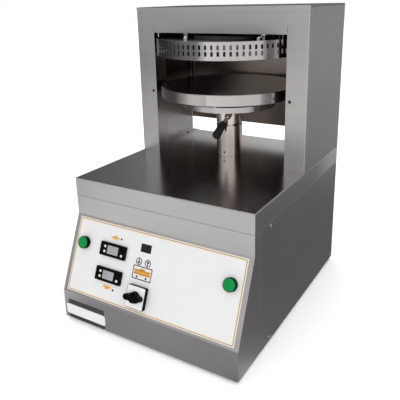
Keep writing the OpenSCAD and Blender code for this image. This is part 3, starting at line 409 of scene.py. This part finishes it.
plasticLooks = {
    "blackPlastic": {"pitch": 1600, "smooth": 0.3, "rough": 0.42, "dark": (0.0015, 0.0015, 0.0015),
                     "light": (0.003, 0.003, 0.003), "relief": 0.01 * mm, "edge": 0.6 * mm, "shine": 0.06},
    "gripPlastic": {"pitch": 1300, "smooth": 0.36, "rough": 0.5, "dark": (0.012, 0.012, 0.013),
                    "light": (0.022, 0.022, 0.024), "relief": 0.02 * mm, "edge": 0.6 * mm, "shine": 0.25},
    "keyPlastic": {"pitch": 1800, "smooth": 0.3, "rough": 0.4, "dark": (0.72, 0.72, 0.6),
                   "light": (0.84, 0.84, 0.72), "relief": 0.006 * mm, "edge": 0.4 * mm},
    "greenPlastic": {"pitch": 900, "smooth": 0.2, "rough": 0.32, "dark": (0.0, 0.255, 0.055),
                     "light": (0.0, 0.315, 0.075), "relief": 0.012 * mm, "edge": 0.8 * mm, "shine": 0.2},
    "filmPlastic": {"pitch": 2200, "smooth": 0.42, "rough": 0.48, "dark": (0.835, 0.835, 0.84),
                    "light": (0.845, 0.845, 0.85), "relief": 0.003 * mm, "edge": 0.0},
    "footRubber": {"pitch": 1200, "smooth": 0.65, "rough": 0.8, "dark": (0.018, 0.018, 0.018),
                   "light": (0.035, 0.035, 0.034), "relief": 0.03 * mm, "edge": 0.8 * mm},
    "framePaint": {"pitch": 700, "smooth": 0.4, "rough": 0.55, "dark": (0.1, 0.11, 0.12),
                   "light": (0.15, 0.16, 0.17), "relief": 0.02 * mm, "edge": 0.8 * mm},
    "motorPaint": {"pitch": 800, "smooth": 0.35, "rough": 0.5, "dark": (0.03, 0.06, 0.11),
                   "light": (0.05, 0.09, 0.16), "relief": 0.03 * mm, "edge": 0.8 * mm},
    "heaterCase": {"pitch": 400, "smooth": 0.6, "rough": 0.8, "dark": (0.02, 0.019, 0.018),
                   "light": (0.04, 0.038, 0.035), "relief": 0.05 * mm, "edge": 0.6 * mm},
    "orangeInk": {"pitch": 2500, "smooth": 0.35, "rough": 0.45, "dark": (0.79, 0.32, 0.015),
                  "light": (0.84, 0.37, 0.03), "relief": 0.002 * mm, "edge": 0.0},
    "amberInk": {"pitch": 2500, "smooth": 0.35, "rough": 0.45, "dark": (0.5, 0.23, 0.03),
                 "light": (0.55, 0.26, 0.04), "relief": 0.002 * mm, "edge": 0.0},
    "paleInk": {"pitch": 2500, "smooth": 0.35, "rough": 0.45, "dark": (0.82, 0.6, 0.3),
                "light": (0.86, 0.65, 0.36), "relief": 0.002 * mm, "edge": 0.0},
    "creamInk": {"pitch": 2500, "smooth": 0.4, "rough": 0.48, "dark": (0.86, 0.78, 0.64),
                 "light": (0.88, 0.8, 0.66), "relief": 0.002 * mm, "edge": 0.0},
    "lineInk": {"pitch": 2500, "smooth": 0.35, "rough": 0.45, "dark": (0.36, 0.185, 0.06),
                "light": (0.41, 0.21, 0.075), "relief": 0.002 * mm, "edge": 0.0},
    "blackInk": {"pitch": 2500, "smooth": 0.35, "rough": 0.45, "dark": (0.008, 0.008, 0.008),
                 "light": (0.01, 0.01, 0.01), "relief": 0.002 * mm, "edge": 0.0, "shine": 0.1},
    "displayGlass": {"pitch": 2500, "smooth": 0.14, "rough": 0.22, "dark": (0.36, 0.36, 0.385),
                     "light": (0.42, 0.42, 0.445), "relief": 0.001 * mm, "edge": 0.0, "shine": 0.3},
    "timerGlass": {"pitch": 2500, "smooth": 0.2, "rough": 0.28, "dark": (0.01, 0.01, 0.01),
                   "light": (0.018, 0.018, 0.018), "relief": 0.001 * mm, "edge": 0.3 * mm, "shine": 0.2},
    "badgeDark": {"pitch": 1500, "smooth": 0.3, "rough": 0.4, "dark": (0.03, 0.03, 0.031),
                  "light": (0.045, 0.045, 0.046), "relief": 0.004 * mm, "edge": 0.3 * mm},
    "badgeWhite": {"pitch": 1500, "smooth": 0.3, "rough": 0.4, "dark": (0.93, 0.93, 0.93),
                   "light": (0.96, 0.96, 0.96), "relief": 0.003 * mm, "edge": 0.2 * mm},
}
sheetHalf = 0.75 * mm
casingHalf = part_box("tower_front")[1].x
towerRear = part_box("tower_rear_panel")[1].y
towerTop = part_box("tower_top")[1].z
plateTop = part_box("lower_plate")[1].z
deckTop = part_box("deck")[1].z
innerSide, innerRear = casingHalf - sheetHalf, towerRear - sheetHalf
flangeEnd = casingHalf - 4 * sheetHalf

# height bands over which painted shade, painted light and heat stains fade in
fades = {"whole": (0.0, 10 * mm), "aboveFlange": (deckTop + 4 * mm, deckTop + 6 * mm),
         "fromBelowPlate": (plateTop - 60 * mm, plateTop + 10 * mm), "rear": (plateTop, plateTop + 80 * mm),
         "towerFace": (towerTop - 0.5 * mm, towerTop - 0.2 * mm),
         "plateFace": (plateTop - 1.0 * mm, plateTop - 0.3 * mm)}
# inside the tower the side wall is painted lighter (painted light), darker where it lies further in than the
# flange above the deck, and nearly black from just below the plate up: painted shade, partly heat stain
steelLooks["towerSide"] = dict(steelLooks["sideSheet"], lightAndStain=[
    {"axis": "X", "below": innerSide, "fade": fades["whole"], "lightAndStainTone": (0.7, 0.68, 0.67)},
    {"axis": "X", "below": flangeEnd, "fade": fades["aboveFlange"], "lightAndStainTone": (0.2, 0.172, 0.155)},
    {"axis": "X", "below": innerSide, "fade": fades["fromBelowPlate"], "lightAndStainTone": (0.045, 0.04, 0.036)}])
# the post liners are painted darker from just below the plate up: painted shade, partly heat stain
steelLooks["uprightSheet"]["lightAndStain"] = [
    {"axis": "X", "below": casingHalf, "fade": fades["fromBelowPlate"], "lightAndStainTone": (0.2, 0.175, 0.16)}]
# the rear panel's inner face is painted dark, painted shade standing in for the dark it mirrors, and less
# dark from the plate up
steelLooks["towerRear"] = dict(steelLooks["frontSheet"], lightAndStain=[
    {"axis": "Y", "below": innerRear, "fade": fades["whole"], "lightAndStainTone": (0.2, 0.17, 0.15)},
    {"axis": "Y", "below": innerRear, "fade": fades["rear"], "lightAndStainTone": (0.38, 0.352, 0.33)}])
# the tower's top face is painted darker: painted shade
steelLooks["topSheet"] = dict(steelLooks["frontSheet"], glance=0.5, lightAndStain=[
    {"axis": "X", "below": 2 * casingHalf, "fade": fades["towerFace"], "lightAndStainTone": (0.24, 0.235, 0.235)}])
steelLooks["hotPlate"]["flat"] = {"fade": fades["plateFace"], "rough": 0.2}
# the lower plate's upper face is painted lighter: painted light
steelLooks["hotPlate"]["lightAndStain"] = [
    {"axis": "Y", "below": towerRear, "fade": fades["plateFace"], "lightAndStainTone": (0.9, 0.84, 0.79)}]
looks = {name: steelMaterial(name, look) for name, look in steelLooks.items()}
looks.update({name: plasticMaterial(name, look) for name, look in plasticLooks.items()})


def deckMaterial():
    # satin skirts, and a smoother top that mirrors the tower and is painted brighter towards the rear slot:
    # painted light
    look = {"smooth": 0.17, "rough": 0.25, "satin": 0.33, "relief": 0.006 * mm, "slotLight": (0.95, 0.93, 0.92),
            "topFade": (deckTop - 3 * mm, deckTop - 0.2 * mm),
            "slotLightFade": (towerRear - 190 * mm, towerRear - 50 * mm)}
    material, tree, surface, coords = startMaterial("deckSheet")
    grain = placeGroup(tree, brushGrain, coords, {
        "Stretch": acrossX, "Smooth": look["smooth"], "Rough": look["rough"]})
    level = addNode(tree, "ShaderNodeSeparateXYZ")
    onTop = climbNode(tree, look["topFade"])
    rough = addNode(tree, "ShaderNodeMix", {2: look["satin"]}, data_type="FLOAT")
    tree.links.new(coords, level.inputs[0])
    tree.links.new(level.outputs["Z"], onTop.inputs["Value"])
    tree.links.new(onTop.outputs["Result"], rough.inputs[0])
    tree.links.new(grain.outputs["Roughness"], rough.inputs[3])
    surface.inputs["Metallic"].default_value = 1.0
    sheet = steelLooks["frontSheet"]
    # painted light: the top brightens towards the rear slot
    slotLightMask = climbNode(tree, look["slotLightFade"])
    slotLight = addNode(tree, "ShaderNodeMix", data_type="RGBA")
    slotLight.inputs[7].default_value = (*look["slotLight"], 1)
    tree.links.new(level.outputs["Y"], slotLightMask.inputs["Value"])
    tree.links.new(slotLightMask.outputs["Result"], slotLight.inputs[0])
    tree.links.new(mixTone(tree, grain.outputs["Cloud"], sheet["dark"], sheet["light"]), slotLight.inputs[6])
    tree.links.new(paintEdgeHighlight(tree, slotLight.outputs[2], sheet["edgeGlint"]), surface.inputs["Base Color"])
    tree.links.new(rough.outputs[0], surface.inputs["Roughness"])
    softNormal(tree, surface, grain.outputs["Height"], look["relief"], sheet["edge"])
    return material


looks["deckSheet"] = deckMaterial()


def screwMaterial():
    # screws in the casing's sides painted bright, a painted highlight; dark ones in the tower's front and
    # feet
    look = {"stretch": (300, 300, 300), "smooth": 0.18, "rough": 0.3, "dark": (0.07, 0.068, 0.065),
            "bright": (0.62, 0.61, 0.6), "sideBand": 8 * mm, "relief": 0.004 * mm, "edge": 0.3 * mm}
    material, tree, surface, coords = startMaterial("screwHeads")
    grain = placeGroup(tree, brushGrain, coords, {
        "Stretch": look["stretch"], "Smooth": look["smooth"], "Rough": look["rough"]})
    split = addNode(tree, "ShaderNodeSeparateXYZ")
    size = addNode(tree, "ShaderNodeMath", operation="ABSOLUTE")
    # the side screws get the bright tone: painted highlight
    onSide = addNode(tree, "ShaderNodeMath", {1: casingHalf - look["sideBand"]}, operation="GREATER_THAN")
    tone = addNode(tree, "ShaderNodeMix", data_type="RGBA")
    tone.inputs[6].default_value = (*look["dark"], 1)
    tone.inputs[7].default_value = (*look["bright"], 1)
    tree.links.new(coords, split.inputs[0])
    tree.links.new(split.outputs["X"], size.inputs[0])
    tree.links.new(size.outputs[0], onSide.inputs[0])
    tree.links.new(onSide.outputs[0], tone.inputs[0])
    tree.links.new(tone.outputs[2], surface.inputs["Base Color"])
    surface.inputs["Metallic"].default_value = 1.0
    tree.links.new(grain.outputs["Roughness"], surface.inputs["Roughness"])
    softNormal(tree, surface, grain.outputs["Height"], look["relief"], look["edge"])
    return material


looks["screwHeads"] = screwMaterial()

finishes = {
    "frontSheet": ["front_panel", "tower_front", "base_rear_panel"],
    "topSheet": ["tower_top"],
    "sideSheet": ["left_side_panel", "right_side_panel"],
    "towerSide": ["tower_left_side", "tower_right_side"],
    "towerRear": ["tower_rear_panel"],
    "uprightSheet": ["left_post_liner", "right_post_liner"],
    "deckSheet": ["deck"],
    "guardSheet": ["guard_ring", "guard_straps", "plate_spacers", "upper_studs"],
    "hotPlate": ["lower_plate"],
    "hotPlateTop": ["upper_plate"],
    "brightSteel": ["guard_nuts"],
    "columnSteel": ["ram_column", "adjuster_ring", "lever_rod"],
    "carrierSteel": ["carrier_disc"],
    "turnedSteel": ["drive_screw", "guide_rod"],
    "darkSteel": ["carrier_bolts"],
    "screwHeads": ["panel_screws"],
    "zincSheet": ["base_tray"],
    "castMetal": ["gearbox", "anti_turn_arm"],
    "bronze": ["guide_bushes", "screw_nut"],
    "blackPlastic": ["cable_gland", "fan_cover", "limit_switches", "upper_controller", "lower_controller",
                     "switch_plate", "switch_knob", "button_bezels", "electrics"],
    "gripPlastic": ["lever_grip"],
    "keyPlastic": ["upper_key_a", "upper_key_b", "upper_key_c", "lower_key_a", "lower_key_b", "lower_key_c"],
    "greenPlastic": ["left_button", "right_button"],
    "filmPlastic": ["overlay"],
    "footRubber": ["feet"],
    "framePaint": ["tie_columns", "head_plate", "guide_housing", "drive_plate"],
    "motorPaint": ["motor"],
    "heaterCase": ["upper_heater", "lower_heater"],
    "timerGlass": ["timer_module"],
}
for look, names in finishes.items():
    for name in names:
        nodes[name].data.materials.clear()
        nodes[name].data.materials.append(looks[look])
print("materials:", len(looks), "on", sum(map(len, finishes.values())), "nodes")

# printed film

border = {"inset": 2.5 * mm, "line": 1.6 * mm, "corner": 3.0 * mm, "pale": (0.4 * mm, 7.4 * mm)}


def borderLoop(start, end, thick):
    # a closed band between two insets from the film's edge
    outer = roundRect(filmWidth - 2 * start, filmHeight - 2 * start, border["corner"])
    inner = roundRect(filmWidth - 2 * end, filmHeight - 2 * end, border["corner"])
    return loopPart(boardAt(0, filmHeight / 2), outer, inner, 0.0, thick)


def borderPrint():
    # a brown line on a wider pale band
    inset, ink = border["inset"], panel["inkThick"]
    band, line = borderLoop(*border["pale"], ink / 2), borderLoop(inset, inset + border["line"], ink)
    makePiece("border_band", [band], looks["creamInk"], "casing")
    makePiece("border_print", [line], looks["lineInk"], "casing")


icons = {"top": (-117.5, 32.0), "low": (-116.5, 152.0), "bar": (25, 3.6), "hub": (10, 3.4), "base": (19, 2.6),
         "gap": 0.7, "corners": {"bar": 1.2, "hub": 0.8, "base": 1.0},
         "lamps": [(-98.4, 31.3), (-97.0, 155.2)]}


def plateIcons():
    # a hot plate from the side: a long bar with a hub on its outer side and a pale base on its inner side
    ink, gap = panel["inkThick"], icons["gap"]
    plates, bases = [], []
    for key, side in (("top", 1), ("low", -1)):
        x, down = icons[key]
        hubDown = down - side * (icons["bar"][1] + icons["hub"][1]) / 2
        baseDown = down + side * (icons["bar"][1] / 2 + gap + icons["base"][1] / 2)
        rows = [("bar", down, plates), ("hub", hubDown, plates), ("base", baseDown, bases)]
        for label, level, parts in rows:
            width, height = icons[label]
            outline = roundRect(width * mm, height * mm, icons["corners"][label] * mm)
            parts.append(patchPart(boardAt(x * mm, level * mm), outline, 0.0, ink))
    makePiece("plate_icons", plates, looks["orangeInk"], "casing")
    makePiece("base_icons", bases, looks["paleInk"], "casing")


pressIcon = {"centre": (-22.0, 96.0), "frame": (55, 32), "line": 2.2, "corners": (2.0, 1.2),
             "plate": (47, 3.6), "dough": (45, 4.4), "stem": (14, 3.2), "cornerShare": 1 / 3, "lift": 1.5,
             "dots": (-13.5, 13.0), "dotDown": 9.6, "dotRadius": 2.6, "dotSteps": 24}


def pressPrint():
    # two plates with a bright base between them and a stem on each side
    x, down = pressIcon["centre"]
    plateHeight, doughHeight, stemHeight = pressIcon["plate"][1], pressIcon["dough"][1], pressIcon["stem"][1]
    plateAt = (plateHeight + doughHeight) / 2
    stemAt = plateAt + (plateHeight + stemHeight) / 2
    pieces = {
        "press_icon": ("amberInk", [("plate", plateAt), ("plate", -plateAt), ("stem", -stemAt)]),
        "press_base_icon": ("orangeInk", [("dough", 0.0)]),
        "press_stem_icon": ("paleInk", [("stem", stemAt)])}
    for name, (look, rows) in pieces.items():
        parts = []
        for label, shift in rows:
            width, height = pressIcon[label]
            outline = roundRect(width * mm, height * mm, height * pressIcon["cornerShare"] * mm)
            place = boardAt(x * mm, (down + shift - pressIcon["lift"]) * mm)
            parts.append(patchPart(place, outline, 0.0, panel["inkThick"]))
        makePiece(name, parts, looks[look], "casing")


arrows = {"down": (-36.3, 70.0), "up": (-10.9, 70.0), "radius": 8.7, "line": 2.0, "tip": 5.6, "wing": 5.4,
          "stem": 1.3, "neck": 0.8, "heart": 1.0}


def linePrint():
    # thin black lines and marks: arrow circles, the icon's frame and the lamp dots
    ink = panel["inkThick"]
    parts = []
    for key, side in (("down", -1), ("up", 1)):
        x, down = arrows[key]
        place = boardAt(x * mm, down * mm)
        outer = ring2d(arrows["radius"] * mm)
        inner = ring2d((arrows["radius"] - arrows["line"]) * mm)
        parts.append(loopPart(place, outer, inner, 0.0, ink))
        tip, wing, stem, neck = (arrows[part] for part in ("tip", "wing", "stem", "neck"))
        head = np.array([(0, tip), (-wing, neck), (-stem, neck), (-stem, -tip), (stem, -tip), (stem, neck),
                         (wing, neck)])
        heart = (0, side * arrows["heart"] * mm)
        parts.append(patchPart(place, head * mm * np.array([1, side]), 0.0, ink, heart))
    x, down = pressIcon["centre"]
    width, height = pressIcon["frame"]
    line = pressIcon["line"]
    outerCorner, innerCorner = pressIcon["corners"]
    outer = roundRect(width * mm, height * mm, outerCorner * mm)
    inner = roundRect((width - 2 * line) * mm, (height - 2 * line) * mm, innerCorner * mm)
    parts.append(loopPart(boardAt(x * mm, down * mm), outer, inner, 0.0, ink))
    dots = [(x + shift, down + pressIcon["dotDown"]) for shift in pressIcon["dots"]]
    for dotX, dotDown in dots + icons["lamps"]:
        outline = ring2d(pressIcon["dotRadius"] * mm, pressIcon["dotSteps"])
        parts.append(patchPart(boardAt(dotX * mm, dotDown * mm), outline, 0.0, ink))
    return makePiece("line_print", parts, looks["blackInk"], "casing")


display = {"x": -115.2, "downs": (62.5, 123.4), "size": (33.4, 20.4), "corner": 0.8, "low": 5.25, "high": 5.8}


def displayWindows():
    # grey windows in the recesses of the two controllers
    parts = []
    for down in display["downs"]:
        outline = roundRect(display["size"][0] * mm, display["size"][1] * mm, display["corner"] * mm)
        place = boardAt(display["x"] * mm, down * mm)
        parts.append(patchPart(place, outline, display["low"] * mm, display["high"] * mm))
    return makePiece("display_windows", parts, looks["displayGlass"], "casing")


switchCard = {"margin": 0.9, "thick": 0.3, "corner": 2.2, "hole": 7.5}


def switchFace():
    # a white card on the black switch plate: the band between a round-cornered square and the knob's hole
    low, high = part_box("switch_plate")
    half = (high.x - low.x) / 2 - switchCard["margin"] * mm
    outer = roundRect(2 * half, 2 * half, switchCard["corner"] * mm)
    angle = np.arctan2(outer[:, 1], outer[:, 0])
    inner = np.stack([np.cos(angle), np.sin(angle)], -1) * switchCard["hole"] * mm
    centre = np.array(switchJoint["pos_m"], float)

    def place(u, v, rise):
        return centre + u[:, None] * np.array([1.0, 0, 0]) + v[:, None] * panelUp + rise[:, None] * panelOut
    part = loopPart(place, outer, inner, 0.0, switchCard["thick"] * mm)
    return makePiece("switch_card", [part], looks["badgeWhite"], "casing")


borderPrint()
plateIcons()
switchFace()
pressPrint()
linePrint()
displayWindows()
print("panel print done")

# a dark set screw in the column's pin hole: painted shade for the hole

shadeScrewShape = {"turn": 4.0, "above": 13 * mm, "radius": 2.85 * mm, "depth": (1.2 * mm, 5.0 * mm), "socket": 1.5 * mm,
        "steps": 24}


def makeShadeScrew():
    # a dark set screw sunk in the column's pin hole as painted shade for the hole, with a round socket: rings
    # of points swept along its axis
    low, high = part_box("ram_column")
    turn = math.radians(shadeScrewShape["turn"])
    out = np.array([math.sin(turn), -math.cos(turn), 0.0])
    across = np.array([math.cos(turn), math.sin(turn), 0.0])
    middle = np.array([(low.x + high.x) / 2, (low.y + high.y) / 2, deckTop + shadeScrewShape["above"]])
    face, back = ((high.x - low.x) / 2 - depth for depth in shadeScrewShape["depth"])
    socket, rim = shadeScrewShape["socket"], shadeScrewShape["radius"]
    floor = face - socket
    rows = [(0.0, floor), (socket, floor), (socket, face), (rim, face), (rim, back), (0.0, back)]
    circle = ring2d(1.0, shadeScrewShape["steps"])
    spread = circle[:, :1] * across + circle[:, 1:] * np.array([0.0, 0.0, 1.0])
    points = np.stack([middle + reach * out + radius * spread for radius, reach in rows])
    part = (points, gridFaces(len(rows), shadeScrewShape["steps"], wrapCols=True))
    return makePiece("column_shade_screw", [part], looks["darkSteel"], "ram")


makeShadeScrew()
print("set screw done")

# bare badge on the lower strip

badge = {"left": 9.0, "width": 127.0, "low": 10.5, "height": 27.0, "corner": 4.0, "thick": 2.0,
         "barWidth": 116.0, "barHeight": 51.0, "barThick": 1.2, "barCorner": 1.5}


def badgeAt(x, z):
    # a placing function on the front face of the lower strip
    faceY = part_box("front_panel")[0].y

    def place(u, v, rise):
        return np.stack([x + u, faceY - rise, z + v], -1)
    return place


def badgePlate():
    # a white plate with round ends across a dark one, both bare
    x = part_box("front_panel")[0].x + (badge["left"] + badge["width"] / 2) * mm
    z = (badge["low"] + badge["barHeight"] / 2) * mm
    dark = roundRect(badge["barWidth"] * mm, badge["barHeight"] * mm, badge["barCorner"] * mm)
    white = roundRect(badge["width"] * mm, badge["height"] * mm, badge["corner"] * mm)
    seat, thick = badge["barThick"] * mm, badge["thick"] * mm
    plate = patchPart(badgeAt(x, z), dark, 0.0, seat)
    band = patchPart(badgeAt(x, z), white, seat, seat + thick)
    makePiece("badge_plate", [plate], looks["badgeDark"], "casing")
    makePiece("badge_band", [band], looks["badgeWhite"], "casing")


badgePlate()
print("badge done")

# camera

view = {"fromDeckFront": (0.66109, -0.88145, 0.78953), "yaw": -31.486, "pitch": -16.647, "roll": -1.361,
        "lens": 46.154, "sensor": 36.0, "shiftY": -0.12, "clip": (0.05, 60.0)}


def setCamera():
    # the place and turn found from the photo's edges: yaw, then pitch, then roll about the view
    yaw, pitch, roll = (math.radians(view[key]) for key in ("yaw", "pitch", "roll"))
    ahead = Vector((math.sin(yaw) * math.cos(pitch), math.cos(yaw) * math.cos(pitch), math.sin(pitch)))
    level = Vector((math.cos(yaw), -math.sin(yaw), 0))
    above = level.cross(ahead)
    right = level * math.cos(roll) + above * math.sin(roll)
    top = above * math.cos(roll) - level * math.sin(roll)
    spot = Vector(view["fromDeckFront"]) + Vector((0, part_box("deck")[0].y, 0))
    lens = bpy.data.cameras.new("photoCamera")
    lens.lens, lens.sensor_width, lens.shift_y = view["lens"], view["sensor"], view["shiftY"]
    lens.clip_start, lens.clip_end = view["clip"]
    camera = bpy.data.objects.new("photoCamera", lens)
    scene.collection.objects.link(camera)
    camera.matrix_world = Matrix(((right.x, top.x, -ahead.x, spot.x), (right.y, top.y, -ahead.y, spot.y),
                                  (right.z, top.z, -ahead.z, spot.z), (0, 0, 0, 1)))
    scene.camera = camera


setCamera()
print("camera set")

# studio

studio = {"daylight": 0.92, "floorSize": 30.0, "floorTone": 0.93, "floorShown": 1.42, "floorRough": 0.9,
          "boxPower": 7.0, "boxSize": (3.6, 2.0), "boxAway": 1.75, "boxTurn": 144.0, "boxHeight": 1.0,
          "boxDip": 0.1}


def seenDirectly(tree):
    # 1 for camera, glossy and transmission rays, 0 for the light that falls on things
    path = addNode(tree, "ShaderNodeLightPath")
    first = addNode(tree, "ShaderNodeMath", operation="MAXIMUM")
    second = addNode(tree, "ShaderNodeMath", operation="MAXIMUM")
    tree.links.new(path.outputs["Is Camera Ray"], first.inputs[0])
    tree.links.new(path.outputs["Is Glossy Ray"], first.inputs[1])
    tree.links.new(first.outputs[0], second.inputs[0])
    tree.links.new(path.outputs["Is Transmission Ray"], second.inputs[1])
    return second.outputs[0]


def setWorld():
    # plain white all round, a little weaker as light than as background
    world = bpy.data.worlds.new("studioWorld")
    scene.world = world
    world.use_nodes = True
    tree = world.node_tree
    strength = addNode(tree, "ShaderNodeMix", {2: studio["daylight"], 3: 1.0}, data_type="FLOAT")
    tree.links.new(seenDirectly(tree), strength.inputs[0])
    tree.nodes["Background"].inputs["Color"].default_value = (1, 1, 1, 1)
    tree.links.new(strength.outputs[0], tree.nodes["Background"].inputs["Strength"])


def stageMesh(name, points, faces, material):
    # a mesh of the studio, which is no piece of the press
    mesh = bpy.data.meshes.new(name)
    mesh.from_pydata(points.reshape(-1, 3).tolist(), [], faces.tolist())
    mesh.materials.append(material)
    thing = bpy.data.objects.new(name, mesh)
    scene.collection.objects.link(thing)
    return thing


def makeFloor():
    # a level square, shown brighter than it lights the press
    half = studio["floorSize"] / 2
    u, v = np.meshgrid([-half, half], [-half, half], indexing="ij")
    material = bpy.data.materials.new("paleFloor")
    material.use_nodes = True
    tree = material.node_tree
    surface = tree.nodes["Principled BSDF"]
    shown = addNode(tree, "ShaderNodeMapRange", {
        "To Min": studio["floorTone"], "To Max": studio["floorShown"]})
    tree.links.new(seenDirectly(tree), shown.inputs["Value"])
    tree.links.new(shown.outputs["Result"], surface.inputs["Base Color"])
    surface.inputs["Roughness"].default_value = studio["floorRough"]
    surface.inputs["Specular IOR Level"].default_value = 0.0
    stageMesh("studio_floor", np.stack([u, v, np.zeros_like(u)], -1), gridFaces(2, 2), material)


def flagMaterial(name):
    # grey studio flags: each point glows with its own tone
    material = bpy.data.materials.new(name)
    material.use_nodes = True
    tree = material.node_tree
    tree.nodes.remove(tree.nodes["Principled BSDF"])
    glow = addNode(tree, "ShaderNodeEmission", {"Color": (1, 1, 1, 1)})
    tone = addNode(tree, "ShaderNodeAttribute", attribute_name="tone")
    tree.links.new(tone.outputs["Fac"], glow.inputs["Strength"])
    tree.links.new(glow.outputs[0], tree.nodes["Material Output"].inputs["Surface"])
    return material


# what the steel mirrors, by turn from +Y towards +X: tones of wall, wall's foot, far floor and near floor
flagTones = [
    (-180, 0.62, 0.66, 0.86, 1.05), (-166, 0.72, 0.66, 0.9, 1.05), (-159, 0.74, 0.22, 0.94, 1.05),
    (-150, 0.76, 0.2, 0.96, 1.05), (-140, 0.76, 0.18, 0.92, 1.05), (-128, 0.55, 0.14, 0.5, 0.85),
    (-109, 0.1, 0.08, 0.12, 0.4), (-90, 0.06, 0.04, 0.1, 0.25), (-68, 0.06, 0.04, 0.14, 0.25),
    (-45, 0.18, 0.11, 0.26, 0.26), (-31, 0.38, 0.14, 0.3, 0.27), (-20, 0.47, 0.16, 0.32, 0.26),
    (0, 0.48, 0.36, 0.36, 0.2), (18, 0.42, 0.42, 0.36, 0.17), (30, 0.4, 0.4, 0.34, 0.16),
    (60, 0.42, 0.4, 0.34, 0.16), (78, 0.35, 0.3, 0.24, 0.16), (92, 0.3, 0.14, 0.4, 0.17),
    (97, 0.4, 0.55, 0.6, 0.17), (115, 0.55, 0.55, 0.66, 0.18), (130, 0.55, 0.55, 0.68, 0.28),
    (150, 0.52, 0.55, 0.8, 0.95), (180, 0.62, 0.66, 0.86, 1.05)]
flags = {"radius": 4.0, "height": 7.0, "turns": 145, "footTop": 0.68, "footBlend": 0.25,
         "clothLift": 1.5 * mm, "nearEnd": 0.9, "farBlend": 0.9,
         "wallRows": ((0, 0.2, 29), (0.25, 1, 9)), "clothRows": ((0, 0.7, 29), (0.75, 4.0, 27))}
# behind the tower the foot stands higher, where the tower's top mirrors it
tallFoot = {"turn": -28.0, "spread": 30.0, "flatShare": 1.5, "rise": 0.5}
# a shade on the cloth in front of the lower strip, by distance ahead of it and beside its middle
clothShade = {"half": 0.45, "sideBlend": 0.2, "start": 0.12, "reach": 0.3, "under": 0.05, "depthShare": 0.62}


def toneAt(turn, column):
    # a tone between the table's turns, in a straight line
    table = np.array(flagTones)
    return np.interp(turn, table[:, 0], table[:, column])


def wallFlag(degrees):
    # an upright cylinder round the press, its tone going from foot to wall with height
    fine, coarse = flags["wallRows"]
    rise = np.concatenate([np.linspace(*fine), np.linspace(*coarse)])
    a, t = np.meshgrid(np.radians(degrees), rise, indexing="ij")
    wall = np.stack([np.sin(a) * flags["radius"], np.cos(a) * flags["radius"], t * flags["height"]], -1)
    behind = tallFoot["flatShare"] - np.abs(degrees - tallFoot["turn"]) / tallFoot["spread"]
    footTop = flags["footTop"] + tallFoot["rise"] * np.clip(behind, 0, 1)
    low = np.clip((footTop[:, None] - wall[..., 2]) / flags["footBlend"], 0, 1)
    return wall, toneAt(degrees, 1)[:, None] * (1 - low) + toneAt(degrees, 2)[:, None] * low


def clothFlag(degrees):
    # a flat disc on the floor, its tone going from near to far with the radius
    fine, coarse = flags["clothRows"]
    reach = np.concatenate([np.linspace(*fine), np.linspace(*coarse)])
    a, r = np.meshgrid(np.radians(degrees), reach, indexing="ij")
    cloth = np.stack([np.sin(a) * r, np.cos(a) * r, np.full_like(r, flags["clothLift"])], -1)
    far = np.clip((r - flags["nearEnd"]) / flags["farBlend"], 0, 1)
    tone = toneAt(degrees, 4)[:, None] * (1 - far) + toneAt(degrees, 3)[:, None] * far
    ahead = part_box("front_panel")[0].y - cloth[..., 1]
    beside = np.clip((clothShade["half"] - np.abs(cloth[..., 0])) / clothShade["sideBlend"], 0, 1)
    fading = np.clip(1 - (ahead - clothShade["start"]) / clothShade["reach"], 0, 1)
    starting = np.clip((ahead + clothShade["under"]) / clothShade["under"], 0, 1)
    return cloth, tone * (1 - clothShade["depthShare"] * beside * fading * starting)


def makeFlags():
    # a ring of flags round the press and a floor cloth under them, seen only in the steel
    material = flagMaterial("studioFlag")
    degrees = np.linspace(-180, 180, flags["turns"])
    for name, (points, tone) in (("flag_wall", wallFlag(degrees)), ("flag_cloth", clothFlag(degrees))):
        flag = stageMesh(name, points, gridFaces(*points.shape[:2]), material)
        shades = flag.data.attributes.new("tone", "FLOAT", "POINT")
        shades.data.foreach_set("value", np.ascontiguousarray(tone, np.float32).ravel())
        flag.visible_camera = flag.visible_diffuse = flag.visible_shadow = False
        flag.visible_transmission = flag.visible_volume_scatter = False


def makeSoftbox():
    # one wide lamp at the front right, aimed a little below its own height
    lamp = bpy.data.lights.new("softbox", "AREA")
    lamp.shape = "RECTANGLE"
    lamp.size, lamp.size_y = studio["boxSize"]
    lamp.energy = studio["boxPower"]
    light = bpy.data.objects.new("softbox", lamp)
    scene.collection.objects.link(light)
    turn = math.radians(studio["boxTurn"])
    aim = Vector((0, 0, studio["boxHeight"] - studio["boxDip"]))
    spot = Vector((math.sin(turn), math.cos(turn), 0)) * studio["boxAway"]
    spot.z = studio["boxHeight"]
    light.location = spot
    light.rotation_euler = (aim - spot).to_track_quat("-Z", "Y").to_euler()
    light.visible_camera = False


setWorld()
makeFloor()
makeFlags()
makeSoftbox()
print("studio ready")
